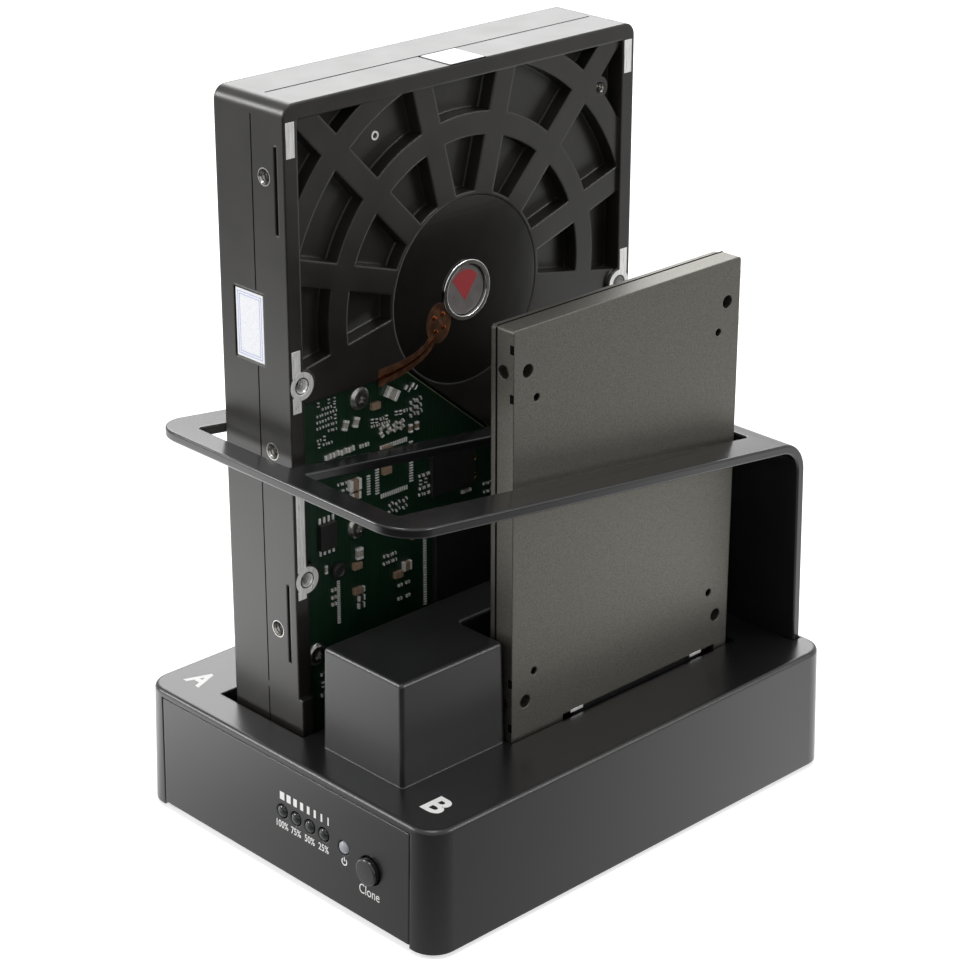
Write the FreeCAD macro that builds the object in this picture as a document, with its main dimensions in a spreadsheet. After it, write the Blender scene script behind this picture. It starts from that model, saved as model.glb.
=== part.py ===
import FreeCAD, Part
import math
import os
import re
import Sketcher

# Two-bay drive duplicator with a 3.5-inch drive in bay A and a 2.5-inch drive in bay B.
# Frame: +X to the right of someone facing the front panel, +Y to the back, +Z up.
# The origin is on the resting surface, under the middle of the base.

SIZES = (
    # base shell
    ("base_wide", 97.0), ("base_tall", 29.1), ("foot_gap", 1.0), ("draft", 1.2),
    ("corner_round", 6.0), ("edge_round", 1.0), ("wall", 2.2), ("deck_thick", 2.5),
    # front panel
    ("panel_side", 7.3), ("panel_thick", 2.6), ("panel_drop", 1.9), ("panel_lift", 0.7), ("panel_gap", 0.25),
    # bays and the drives in them
    ("bay_a_face", -4.8), ("bay_b_face", 30.2), ("bay_front_gap", 10.3), ("bay_rear_gap", 15.1),
    ("bay_b_gap", 1.4),     ("drive_sink", 5.5), ("slot_a_left", -30.9), ("slot_a_right", -2.4), ("slot_gap", 1.2),
    ("slot_b_wide", 15.4), ("slot_b_gap", 0.8),
    # raised guide block
    ("block_left", 3.5), ("block_right", 29.1), ("block_front_in", 9.7), ("block_rear_in", 14.0),
    ("block_tall", 24.1), ("block_draft", 1.0), ("block_wall", 1.8), ("block_round", 0.9),
    # bent guide frame
    ("frame_side_in", 8.0), ("frame_front_in", 0.2), ("frame_high", 65.5), ("frame_thick", 2.3),
    ("shelf_slope", 7.1), ("leg_lean", 1.8), ("leg_inset", 2.0), ("frame_bend", 8.0), ("frame_round", 8.5),
    ("window_a_left", -32.2), ("window_a_right", -2.6), ("window_b_left", 2.8), ("window_b_right", 31.6),
    ("window_front_in", 7.2), ("window_rear_gap", 1.6), ("tab_long", 9.0), ("seat_gap", 0.2),
    # bottom plate, feet and screws
    ("plate_thick", 2.0), ("plate_gap", 0.3), ("post_radius", 3.4), ("post_in_x", 7.2), ("post_in_y", 8.0),
    ("foot_radius", 5.0), ("foot_recess", 0.8), ("foot_in_x", 17.0), ("foot_in_y", 13.0),
    ("screw_radius", 1.5), ("screw_head", 2.8), ("screw_head_tall", 1.4), ("screw_reach", 9.0),
    # main board and what it carries
    ("board_side_in", 11.5), ("board_end_in", 7.0), ("board_thick", 1.6), ("board_high", 6.0),
    ("stand_radius", 3.0), ("stand_in", 7.0), ("stand_gap", 3.0), ("stand_behind", 14.3),
    ("socket_wide", 50.0), ("socket_deep", 7.0), ("key_wide", 38.0), ("key_deep", 4.2), ("key_tall", 4.0),
    ("key_slot", 1.9), ("plug_wide", 33.4), ("plug_thick", 1.1), ("plug_in", 30.4), ("plug_gap", 0.3),
    ("chip_side", 12.0), ("chip_tall", 1.4), ("can_radius", 3.2), ("can_tall", 7.5),
    # lights and button
    ("light_radius", 1.5), ("light_hole", 1.7), ("light_x", 0.5), ("light_pitch", 4.55), ("light_z", 16.6),
    ("power_light_x", 20.7), ("power_light_z", 16.2), ("light_long", 5.5),
    ("button_in", 12.3), ("button_z", 14.2), ("button_radius", 3.1), ("button_gap", 0.25),
    ("button_out", 1.1), ("button_travel", 0.8), ("button_stem", 1.6),
    # rear connectors
    ("port_x", -20.0), ("port_wide", 12.1), ("port_tall", 10.9), ("port_deep", 16.0), ("port_metal", 0.7),
    ("jack_x", 4.0), ("jack_radius", 3.2), ("jack_pin_radius", 1.05), ("jack_side", 9.0), ("jack_deep", 12.0),
    ("switch_x", 24.0), ("switch_wide", 13.0), ("switch_tall", 9.0), ("switch_deep", 10.0),
    ("rocker_tilt", 10.0), ("bezel_out", 0.8),
    # 3.5-inch drive
    ("hdd_wide", 101.6), ("hdd_long", 146.1), ("hdd_rim", 21.8), ("hdd_thick", 26.1), ("hdd_corner", 3.0),
    ("hdd_floor", 8.6), ("hub_across", 50.8), ("hub_along", 95.3), ("hub_radius", 21.0), ("dish_sink", 3.4),
    ("rib_inner", 34.2), ("rib_ring", 5.2), ("rib_outer", 50.2), ("rib_wide", 5.6), ("pocket_deep", 4.4),
    ("pocket_pitch", 28.9), ("pocket_first", 3.5), ("corner_reach", 90.0), ("boss_radius", 2.6), ("boss_bore", 1.25),
    ("hdd_border", 3.6), ("cover_thick", 1.2), ("cover_inset", 2.0), ("cover_raise_inset", 7.0),
    ("side_hole_in", 6.35), ("side_hole_low", 28.5), ("side_hole_mid", 70.1), ("side_hole_top", 130.1),
    ("lug_in", 3.18), ("lug_low", 41.28), ("lug_high", 85.73), ("lug_radius", 3.4), ("thread_radius", 1.6),
    ("hdd_board_thick", 1.2), ("hdd_board_sink", 2.6), ("hdd_board_tall", 80.7), ("hdd_board_rise", 60.2),
    ("knee_top", 34.0), ("knee_low", 58.5), ("side_slot_in", 2.6), ("side_slot_wide", 0.8),
    ("heel_out", 1.2), ("heel_tall", 13.6), ("heel_wide", 3.0),
    ("platter_radius", 46.5), ("platter_thick", 1.27), ("platter_pitch", 4.6), ("hole_in_platter", 12.5),
    ("hdd_chip_tall", 1.3), ("ring_radius", 6.9), ("pivot_across", 76.0), ("pivot_along", 42.3),
    ("arm_thick", 1.0), ("plug_back", 4.6),
    # 2.5-inch drive
    ("ssd_wide", 69.85), ("ssd_long", 100.2), ("ssd_thick", 7.0), ("ssd_skin", 0.9), ("ssd_round", 0.8),
    ("ssd_hole_in", 4.07), ("ssd_hole_low", 14.0), ("ssd_hole_top", 90.6), ("ssd_side_hole", 3.0),
    ("ssd_seam", 5.2),
)

DERIVED = (
    ("base_deep", "hdd_wide + bay_front_gap + bay_rear_gap"),
    ("hdd_rear", "base_deep / 2 - bay_rear_gap"),
    ("ssd_rear", "hdd_rear - bay_b_gap"),
    ("plug_y", "hdd_rear - plug_in"),
    ("panel_wide", "base_wide - 2 * panel_side"),
    ("button_x", "panel_wide / 2 - button_in"),
    ("block_front", "block_front_in - base_deep / 2"),
    ("block_rear", "base_deep / 2 - block_rear_in"),
    ("frame_wide", "base_wide - 2 * frame_side_in"),
    ("frame_front", "frame_front_in - base_deep / 2"),
    ("window_front", "window_front_in - base_deep / 2"),
    ("window_rear", "hdd_rear + window_rear_gap"),
    ("board_wide", "base_wide - 2 * board_side_in"),
    ("board_deep", "base_deep - 2 * board_end_in"),
    ("stand_x", "board_wide / 2 - stand_in"),
    ("stand_rear", "plug_y + socket_wide / 2 + stand_gap"),
    ("stand_front", "base_tall * tan(draft) + panel_thick + stand_behind - base_deep / 2"),
)
TABLE = SIZES + tuple((alias, f"={formula}") for alias, formula in DERIVED)

doc = FreeCAD.newDocument("drive_duplicator")
sheet = doc.addObject("Spreadsheet::Sheet", "sizes")
for row, (alias, number) in enumerate(TABLE, start=1):
    sheet.set(f"A{row}", alias)
    sheet.setAlias(f"B{row}", alias)
for row, (alias, number) in enumerate(TABLE, start=1):
    sheet.set(f"B{row}", str(number))
doc.recompute()

WORDS = re.compile(r"\b(" + "|".join(alias for alias, number in TABLE) + r")\b")
TURNS = {
    "x": FreeCAD.Rotation(FreeCAD.Vector(0, 1, 0), 90),
    "y": FreeCAD.Rotation(FreeCAD.Vector(1, 0, 0), -90),
    "z": FreeCAD.Rotation(),
}
nodes = []


# ---- helpers: every length, place and radius is an expression on the sheet ----

def ref(text):
    """Turn the size names in an expression into references to the sheet."""
    return WORDS.sub(r"sizes.\1", str(text))


def value(text):
    """The number that an expression gives now."""
    return float(sheet.evalExpression(ref(text)))


def bind(obj, prop, text):
    obj.setExpression(prop, ref(text))


def place(obj, x, y, z):
    bind(obj, "Placement.Base.x", x)
    bind(obj, "Placement.Base.y", y)
    bind(obj, "Placement.Base.z", z)
    return obj


def node(label, obj):
    """Register a finished piece under the name that its file gets."""
    obj.Label = label
    nodes.append(obj)
    return obj


def box(name, x0, x1, y0, y1, z0, z1):
    """A block between two opposite corners."""
    obj = place(doc.addObject("Part::Box", name), x0, y0, z0)
    bind(obj, "Length", f"({x1}) - ({x0})")
    bind(obj, "Width", f"({y1}) - ({y0})")
    bind(obj, "Height", f"({z1}) - ({z0})")
    return obj


def rod(name, axis, x, y, z, radius, length):
    """A cylinder that starts at a point and runs along +axis."""
    obj = doc.addObject("Part::Cylinder", name)
    obj.Placement.Rotation = TURNS[axis]
    place(obj, x, y, z)
    bind(obj, "Radius", radius)
    bind(obj, "Height", length)
    return obj


def fuse(name, *parts):
    obj = doc.addObject("Part::MultiFuse", name)
    obj.Shapes = list(parts)
    return obj


def group(name, *parts):
    """Separate solids under one name."""
    obj = doc.addObject("Part::Compound", name)
    obj.Links = list(parts)
    return obj


def cut(name, base, *tools):
    obj = doc.addObject("Part::Cut", name)
    obj.Base = base
    obj.Tool = tools[0] if len(tools) == 1 else group(name + "_tools", *tools)
    return obj


def common(name, first, second):
    obj = doc.addObject("Part::Common", name)
    obj.Base = first
    obj.Tool = second
    return obj


def body(name, x="0", y="0", z="0"):
    return place(doc.addObject("PartDesign::Body", name), x, y, z)


def sketch(owner, plane):
    """A new sketch on one of its body's own origin planes."""
    obj = owner.newObject("Sketcher::SketchObject", f"{owner.Name}_sketch")
    support = next(item for item in owner.Origin.OriginFeatures if item.Role == plane)
    obj.AttachmentSupport = [(support, "")]
    obj.MapMode = "FlatFace"
    return obj


def pin_point(obj, item, end, u, v):
    """Hold one point of a sketch at two expressions."""
    for kind, text in (("DistanceX", u), ("DistanceY", v)):
        number = obj.addConstraint(Sketcher.Constraint(kind, -1, 1, item, end, value(text)))
        bind(obj, f"Constraints[{number}]", text)


def polygon(obj, *corners):
    """A closed outline of straight lines, each corner held at its own expressions."""
    spots = [FreeCAD.Vector(value(u), value(v), 0) for u, v in corners]
    first = obj.GeometryCount
    count = len(spots)
    for step in range(count):
        obj.addGeometry(Part.LineSegment(spots[step], spots[(step + 1) % count]))
    for step in range(count):
        obj.addConstraint(Sketcher.Constraint("Coincident", first + step, 2, first + (step + 1) % count, 1))
    for step, (u, v) in enumerate(corners):
        pin_point(obj, first + step, 1, u, v)


def rectangle(obj, u0, u1, v0, v1):
    polygon(obj, (u0, v0), (u1, v0), (u1, v1), (u0, v1))


def circle(obj, u, v, radius):
    item = obj.addGeometry(Part.Circle(FreeCAD.Vector(value(u), value(v), 0), FreeCAD.Vector(0, 0, 1),
                                       value(radius)))
    pin_point(obj, item, 3, u, v)
    number = obj.addConstraint(Sketcher.Constraint("Radius", item, value(radius)))
    bind(obj, f"Constraints[{number}]", radius)


def pad(owner, profile, length, back=False, both=False, taper="0"):
    """Thicken a sketch: along its normal, against it, or half each way."""
    obj = owner.newObject("PartDesign::Pad", f"{owner.Name}_pad")
    obj.Profile = profile
    obj.Reversed = back
    obj.SideType = "Symmetric" if both else "One side"
    bind(obj, "Length", length)
    bind(obj, "TaperAngle", taper)
    return obj


def pocket(owner, profile, length, back=False):
    """Cut a sketch into its body to a depth; it has to take material away."""
    before = owner.Shape.Volume
    obj = owner.newObject("PartDesign::Pocket", f"{owner.Name}_pocket")
    obj.Profile = profile
    obj.Reversed = back
    bind(obj, "Length", length)
    doc.recompute()
    if owner.Shape.Volume >= before - 1e-6:
        raise ValueError(f"{owner.Name}: a pocket cuts nothing")
    return obj


def round_edges(owner, radius, pick):
    """Fillet the edges of a body that pick chooses."""
    doc.recompute()
    base = owner.Tip
    names = [f"Edge{number}" for number, edge in enumerate(base.Shape.Edges, start=1) if pick(edge)]
    obj = owner.newObject("PartDesign::Fillet", f"{owner.Name}_fillet")
    obj.Base = (base, names)
    bind(obj, "Radius", radius)
    return obj


def runs_along(edge, axis):
    """Whether an edge is straight and mostly along an axis."""
    if len(edge.Vertexes) < 2 or edge.Curve.TypeId != "Part::GeomLine":
        return False
    way = edge.Curve.Direction
    return abs(getattr(way, axis)) > 0.99


def lies_at(edge, axis, text):
    """Whether a whole edge lies at one height or place along an axis."""
    bounds = edge.BoundBox
    spot = value(text)
    low = getattr(bounds, f"{axis.upper()}Min")
    high = getattr(bounds, f"{axis.upper()}Max")
    return abs(low - spot) < 1e-3 and abs(high - spot) < 1e-3


def slab(name, half_wide, half_deep, z0, tall, radius, taper="0"):
    """A plate about the middle of the base with rounded corners; taper widens or narrows it upwards."""
    owner = body(name, "0", "0", z0)
    profile = sketch(owner, "XY_Plane")
    rectangle(profile, f"-({half_wide})", half_wide, f"-({half_deep})", half_deep)
    pad(owner, profile, tall, taper=taper)
    doc.recompute()
    top = value(tall)
    round_edges(owner, radius, lambda edge: edge.BoundBox.ZLength > 0.9 * top)
    return owner


# ---- heights and places that several pieces share ----

SHELL_BOTTOM = "foot_gap"
DECK = "(foot_gap + base_tall)"
DECK_UNDER = "(foot_gap + base_tall - deck_thick)"
PLATE_TOP = "(foot_gap + plate_thick)"
BOARD_BOTTOM = "(foot_gap + plate_thick + board_high)"
BOARD_TOP = "(foot_gap + plate_thick + board_high + board_thick)"
DRIVE_BOTTOM = "(foot_gap + base_tall - drive_sink)"
BASE_FRONT = "(-base_deep / 2)"
BASE_REAR = "(base_deep / 2)"
PANEL_BACK = "(-base_deep / 2 + base_tall * tan(draft) + panel_thick)"
HDD_FRONT = "(hdd_rear - hdd_wide)"
SSD_FRONT = "(ssd_rear - ssd_wide)"
SLOT_B_RIGHT = "(bay_b_face + slot_b_gap)"
SLOT_B_LEFT = "(bay_b_face + slot_b_gap - slot_b_wide)"
SLOT_REAR = "(hdd_rear + slot_gap)"
FOOT_Y = "(base_deep / 2 - leg_inset)"
POST_X = "(base_wide / 2 - post_in_x)"
POST_Y = "(base_deep / 2 - post_in_y)"
CORNERS = tuple((side, end) for side in (-1, 1) for end in (-1, 1))
STANDS = tuple((f"{side} * stand_x", y) for side in (-1, 1) for y in ("stand_front", "stand_rear"))


# ---- base ----

def make_top_shell():
    """Drafted box, open below, with a raised guide block, two drive slots and openings front and rear."""
    outer = slab("shell_outer", "base_wide / 2", "base_deep / 2", SHELL_BOTTOM, "base_tall", "corner_round",
                 "-draft")
    round_edges(outer, "edge_round", lambda edge: lies_at(edge, "z", "base_tall"))
    inner = slab("shell_inner", "base_wide / 2 - wall", "base_deep / 2 - wall", SHELL_BOTTOM,
                 "base_tall - deck_thick", "corner_round - wall", "-draft")
    block = body("shell_block", z=DECK)
    profile = sketch(block, "XY_Plane")
    outline = (("block_left", "block_front"), ("block_right", "block_front"),
               ("block_right", f"{SSD_FRONT} - slot_b_gap"), (SLOT_B_LEFT, f"{SSD_FRONT} - slot_b_gap"),
               (SLOT_B_LEFT, "block_rear"), ("block_left", "block_rear"))
    polygon(profile, *outline)
    pad(block, profile, "block_tall", taper="-block_draft")
    round_edges(block, "block_round", lambda edge: edge.BoundBox.ZMax > 0.5 * value("block_tall"))
    slot_b_mouth = box("slot_b_mouth", SLOT_B_LEFT, SLOT_B_RIGHT, f"{SSD_FRONT} - slot_b_gap", SLOT_REAR,
                       f"{DECK_UNDER} - 1", f"{DECK} + block_tall + 1")
    slot_a_mouth = box("slot_a_mouth", "slot_a_left", "slot_a_right", f"{HDD_FRONT} - slot_gap", SLOT_REAR,
                       f"{DECK_UNDER} - 1", f"{DECK} + 1")
    hollow_front = box("block_hollow_front", "block_left + block_wall + block_tall * tan(block_draft)",
                       "block_right - block_wall - block_tall * tan(block_draft)",
                       "block_front + block_wall + block_tall * tan(block_draft)",
                       f"{SSD_FRONT} - slot_b_gap - block_wall - block_tall * tan(block_draft)",
                       f"{DECK_UNDER} - 1", f"{DECK} + block_tall - block_wall")
    hollow_rear = box("block_hollow_rear", "block_left + block_wall + block_tall * tan(block_draft)",
                      f"{SLOT_B_LEFT} - block_wall - block_tall * tan(block_draft)",
                      f"{SSD_FRONT} - slot_b_gap - 2 * block_wall",
                      "block_rear - block_wall - block_tall * tan(block_draft)",
                      f"{DECK_UNDER} - 1", f"{DECK} + block_tall - block_wall")
    panel_mouth = box("panel_mouth", "-panel_wide / 2 - panel_gap", "panel_wide / 2 + panel_gap",
                      f"{BASE_FRONT} - 1", f"{PANEL_BACK} + panel_gap", "foot_gap - 1",
                      f"{DECK} - panel_drop + panel_gap")
    leg_slot = box("leg_slot", "-frame_wide / 2 - seat_gap", "frame_wide / 2 + seat_gap",
                   f"{FOOT_Y} - frame_thick / cos(leg_lean) - seat_gap", f"{FOOT_Y} + seat_gap",
                   f"{DECK_UNDER} - 2 * frame_thick", f"{DECK} + 1")
    port_mouth = box("port_mouth", "port_x - port_wide / 2 - plug_gap", "port_x + port_wide / 2 + plug_gap",
                     "0", f"{BASE_REAR} + 1", f"{BOARD_TOP} - plug_gap", f"{BOARD_TOP} + port_tall + plug_gap")
    port_mouth_only = common("port_mouth_rear", port_mouth, rear_wall_zone("port_zone"))
    jack_mouth = rod("jack_mouth", "y", "jack_x", f"{BASE_REAR} - 2 * wall", f"{BOARD_TOP} + jack_side / 2",
                     "jack_radius + plug_gap", "3 * wall")
    switch_mouth = box("switch_mouth", "switch_x - switch_wide / 2 - plug_gap",
                       "switch_x + switch_wide / 2 + plug_gap", f"{BASE_REAR} - 2 * wall", f"{BASE_REAR} + 1",
                       f"{BOARD_TOP} - plug_gap", f"{BOARD_TOP} + 1 + switch_tall + plug_gap")
    posts = [rod(f"shell_post_{number}", "z", f"{side} * {POST_X}", f"{end} * {POST_Y}", PLATE_TOP,
                 "post_radius", f"{DECK_UNDER} - {PLATE_TOP} + 0.5 * deck_thick")
             for number, (side, end) in enumerate(CORNERS)]
    holes = [rod(f"shell_post_hole_{number}", "z", f"{side} * {POST_X}", f"{end} * {POST_Y}",
                 "foot_gap + plate_thick - 1", "screw_radius", "screw_reach + 1")
             for number, (side, end) in enumerate(CORNERS)]
    pilots = [rod(f"frame_pilot_{number}", "z", f"{side} * frame_wide / 3", frame_screw_y(),
                  f"{DECK_UNDER} - 0.1", "screw_radius", "0.7 * deck_thick + 0.1")
              for number, side in enumerate((-1, 0, 1))]
    walls = cut("shell_walls", outer, inner)
    raised = fuse("shell_raised", walls, block, *posts)
    shell = cut("shell_cut", raised, slot_a_mouth, slot_b_mouth, hollow_front, hollow_rear, panel_mouth,
                leg_slot, port_mouth_only, jack_mouth, switch_mouth, *holes, *pilots)
    node("top_shell", shell)


def rear_wall_zone(name):
    """The space that the rear wall takes up, to limit a cut to that wall."""
    return box(name, "-base_wide / 2", "base_wide / 2", f"{BASE_REAR} - 2 * wall", f"{BASE_REAR} + 1",
               "0", DECK)


def frame_screw_y():
    return f"({FOOT_Y} - frame_thick - 0.6 * tab_long)"


def make_front_panel():
    """Flat panel that closes the front, flush with the drafted wall, with round holes."""
    outer = slab("panel_stock", "base_wide / 2", "base_deep / 2", SHELL_BOTTOM, "base_tall", "corner_round",
                 "-draft")
    zone = box("panel_zone", "-panel_wide / 2", "panel_wide / 2", f"{BASE_FRONT} - 1", PANEL_BACK,
               "foot_gap + panel_lift", f"{DECK} - panel_drop")
    plate = common("panel_plate", outer, zone)
    holes = [rod(f"light_hole_{number}", "y", f"light_x + {number} * light_pitch", f"{BASE_FRONT} - 1",
                 "light_z", "light_hole", "panel_thick + 4") for number in range(4)]
    holes.append(rod("power_light_hole", "y", "power_light_x", f"{BASE_FRONT} - 1", "power_light_z",
                     "light_hole", "panel_thick + 4"))
    holes.append(rod("button_hole", "y", "button_x", f"{BASE_FRONT} - 1", "button_z",
                     "button_radius + button_gap", "panel_thick + 4"))
    node("front_panel", cut("panel_cut", plate, *holes))


def make_bottom_plate():
    """Plate inside the foot of the walls, with board stands, foot recesses and screw holes."""
    plate = slab("plate_stock", "base_wide / 2 - wall - plate_gap", "base_deep / 2 - wall - plate_gap",
                 SHELL_BOTTOM, "plate_thick", "corner_round - wall - plate_gap")
    front_trim = box("plate_front_trim", "-panel_wide / 2 - 1", "panel_wide / 2 + 1", f"{BASE_FRONT} - 1",
                     f"{PANEL_BACK} + plate_gap", "0", f"{PLATE_TOP} + 1")
    stands = [rod(f"stand_{number}", "z", x, y, "foot_gap", "stand_radius", "plate_thick + board_high")
              for number, (x, y) in enumerate(STANDS)]
    recesses = [rod(f"foot_recess_{number}", "z", f"{side} * (base_wide / 2 - foot_in_x)",
                    f"{end} * (base_deep / 2 - foot_in_y)", "foot_gap - 1", "foot_radius + 0.1",
                    "foot_recess + 1") for number, (side, end) in enumerate(CORNERS)]
    screw_holes = [rod(f"plate_hole_{number}", "z", f"{side} * {POST_X}", f"{end} * {POST_Y}", "0",
                       "screw_radius + 0.2", "foot_gap + plate_thick + 1")
                   for number, (side, end) in enumerate(CORNERS)]
    sinks = [rod(f"plate_sink_{number}", "z", f"{side} * {POST_X}", f"{end} * {POST_Y}", "0",
                 "screw_head + 0.2", "foot_gap + screw_head_tall")
             for number, (side, end) in enumerate(CORNERS)]
    pilots = [rod(f"stand_pilot_{number}", "z", x, y, f"{BOARD_BOTTOM} - 0.8 * board_high", "screw_radius",
                  "0.8 * board_high + 1") for number, (x, y) in enumerate(STANDS)]
    trimmed = cut("plate_trimmed", plate, front_trim)
    whole = fuse("plate_with_stands", trimmed, *stands)
    node("bottom_plate", cut("plate_cut", whole, *recesses, *screw_holes, *sinks, *pilots))


def make_feet():
    """Four rubber discs that stand proud of the bottom plate."""
    feet = []
    for number, (side, end) in enumerate(CORNERS):
        foot = body(f"foot_{number}", f"{side} * (base_wide / 2 - foot_in_x)",
                    f"{end} * (base_deep / 2 - foot_in_y)", "0")
        profile = sketch(foot, "XY_Plane")
        circle(profile, "0", "0", "foot_radius")
        pad(foot, profile, "foot_gap + foot_recess")
        round_edges(foot, "0.3 * foot_gap", lambda edge: lies_at(edge, "z", "0"))
        feet.append(foot)
    node("rubber_feet", group("feet", *feet))


def screw(name, x, y, z, up, reach):
    """A pan-head screw; its head lies below z when it points up and above z when it points down."""
    head = rod(f"{name}_head", "z", x, y, f"{z} - screw_head_tall" if up else z, "screw_head",
               "screw_head_tall")
    shank = rod(f"{name}_shank", "z", x, y, z if up else f"{z} - ({reach})", "screw_radius", reach)
    drive = box(f"{name}_drive", f"{x} - 0.6 * screw_head", f"{x} + 0.6 * screw_head",
                f"{y} - 0.15 * screw_head", f"{y} + 0.15 * screw_head",
                f"{z} - screw_head_tall" if up else f"{z} + 0.5 * screw_head_tall",
                f"{z} - 0.5 * screw_head_tall" if up else f"{z} + screw_head_tall")
    cross = box(f"{name}_cross", f"{x} - 0.15 * screw_head", f"{x} + 0.15 * screw_head",
                f"{y} - 0.6 * screw_head", f"{y} + 0.6 * screw_head",
                f"{z} - screw_head_tall" if up else f"{z} + 0.5 * screw_head_tall",
                f"{z} - 0.5 * screw_head_tall" if up else f"{z} + screw_head_tall")
    return cut(name, fuse(f"{name}_blank", head, shank), drive, cross)


def make_dock_screws():
    """Bottom screws up into the shell posts, frame screws up into the deck, board screws into the stands."""
    bottom = [screw(f"bottom_screw_{number}", f"{side} * {POST_X}", f"{end} * {POST_Y}",
                    "foot_gap + screw_head_tall", True, "screw_reach - 1")
              for number, (side, end) in enumerate(CORNERS)]
    node("bottom_screws", group("bottom_screw_set", *bottom))
    frame = [screw(f"frame_screw_{number}", f"{side} * frame_wide / 3", frame_screw_y(),
                   f"{DECK_UNDER} - frame_thick", True, "frame_thick + 0.6 * deck_thick")
             for number, side in enumerate((-1, 0, 1))]
    node("frame_screws", group("frame_screw_set", *frame))
    board = [screw(f"board_screw_{number}", x, y, BOARD_TOP, False, "board_thick + 0.7 * board_high")
             for number, (x, y) in enumerate(STANDS)]
    node("board_screws", group("board_screw_set", *board))


def make_guide_frame():
    """One bent plate: tab under the deck, leaning leg, large bend and a shelf that rises to the front."""
    frame = body("guide_frame_body")
    profile = sketch(frame, "YZ_Plane")
    foot_y = FOOT_Y
    shelf_front_z = f"({DECK} + frame_high)"
    # the top of the shelf meets the outside of the leg at this corner
    run = f"({foot_y} - frame_front)"
    corner_drop = f"({run} * tan(shelf_slope))"
    corner_z = f"({shelf_front_z} - {corner_drop})"
    corner_y = f"({foot_y} - ({corner_z} - {DECK}) * tan(leg_lean))"
    down = "(frame_thick / cos(shelf_slope))"
    across = "(frame_thick / cos(leg_lean))"
    polygon(profile,
            ("frame_front", shelf_front_z),
            (corner_y, f"{shelf_front_z} - ({corner_y} - frame_front) * tan(shelf_slope)"),
            (foot_y, DECK),
            (foot_y, f"{DECK_UNDER} - frame_thick"),
            (f"{foot_y} - {across} - tab_long", f"{DECK_UNDER} - frame_thick"),
            (f"{foot_y} - {across} - tab_long", DECK_UNDER),
            (f"{foot_y} - {across}", DECK_UNDER),
            (f"{foot_y} - {across}", DECK),
            (f"{corner_y} - {across}",
             f"{shelf_front_z} - ({corner_y} - {across} - frame_front) * tan(shelf_slope) - {down}"),
            ("frame_front", f"{shelf_front_z} - {down}"))
    pad(frame, profile, "frame_wide", both=True)
    half_way = value(f"{DECK} + 0.5 * frame_high")
    outside = value(f"{corner_y} - 0.5 * frame_thick")
    round_edges(frame, "frame_bend", lambda edge: runs_along(edge, "x") and edge.BoundBox.ZMin > half_way
                and edge.BoundBox.YMin > outside)
    round_edges(frame, "frame_bend - frame_thick", lambda edge: runs_along(edge, "x")
                and edge.BoundBox.ZMin > half_way and value("0") < edge.BoundBox.YMin < outside)
    front = value("frame_front")
    round_edges(frame, "frame_round", lambda edge: runs_along(edge, "z") and edge.BoundBox.YMax < front + 0.1)
    openings = sketch(frame, "XY_Plane")
    rectangle(openings, "window_a_left", "window_a_right", "window_front", "window_rear")
    rectangle(openings, "window_b_left", "window_b_right", "window_front", "window_rear")
    pocket(frame, openings, f"{DECK} + frame_high + 5", back=True)
    holes = [rod(f"tab_hole_{number}", "z", f"{side} * frame_wide / 3", frame_screw_y(),
                 f"{DECK_UNDER} - frame_thick - 1", "screw_radius + 0.2", "frame_thick + 2")
             for number, side in enumerate((-1, 0, 1))]
    trims = [box(f"tab_trim_{number}", f"{low}", f"{high}", f"{FOOT_Y} - 2 * frame_thick - tab_long",
                 f"{FOOT_Y} - frame_thick / cos(leg_lean)", f"{DECK_UNDER} - 2 * frame_thick", DECK_UNDER)
             for number, (low, high) in enumerate(
                 ((f"-frame_wide / 2 - 1", f"-{POST_X} + post_radius + seat_gap"),
                  (f"{POST_X} - post_radius - seat_gap", "frame_wide / 2 + 1")))]
    node("guide_frame", cut("guide_frame_cut", frame, *holes, *trims))


# ---- electronics in the base ----

def make_main_board():
    board = body("board_body", z=BOARD_BOTTOM)
    profile = sketch(board, "XY_Plane")
    rectangle(profile, "-board_wide / 2", "board_wide / 2", f"{PANEL_BACK} + 4", f"{PANEL_BACK} + 4 + board_deep")
    for x, y in STANDS:
        circle(profile, x, y, "screw_radius + 0.2")
    pad(board, profile, "board_thick")
    node("main_board", board)


def make_socket(name, middle):
    """Upright socket: a housing on the board and a slotted key that enters the drive."""
    y0 = "plug_y - socket_wide / 2"
    y1 = "plug_y + socket_wide / 2"
    housing = box(f"{name}_housing", f"{middle} - socket_deep / 2", f"{middle} + socket_deep / 2", y0, y1,
                  BOARD_TOP, f"{DRIVE_BOTTOM} - seat_gap")
    key = box(f"{name}_key", f"{middle} - key_deep / 2", f"{middle} + key_deep / 2", "plug_y - key_wide / 2",
              "plug_y + key_wide / 2", f"{DRIVE_BOTTOM} - seat_gap - 1", f"{DRIVE_BOTTOM} + key_tall")
    slot = box(f"{name}_slot", f"{middle} - key_slot / 2", f"{middle} + key_slot / 2",
               "plug_y - plug_wide / 2 - plug_gap", "plug_y + plug_wide / 2 + plug_gap",
               f"{DRIVE_BOTTOM} - 2", f"{DRIVE_BOTTOM} + key_tall + 1")
    node(name, cut(f"{name}_cut", fuse(f"{name}_blank", housing, key), slot))


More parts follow.
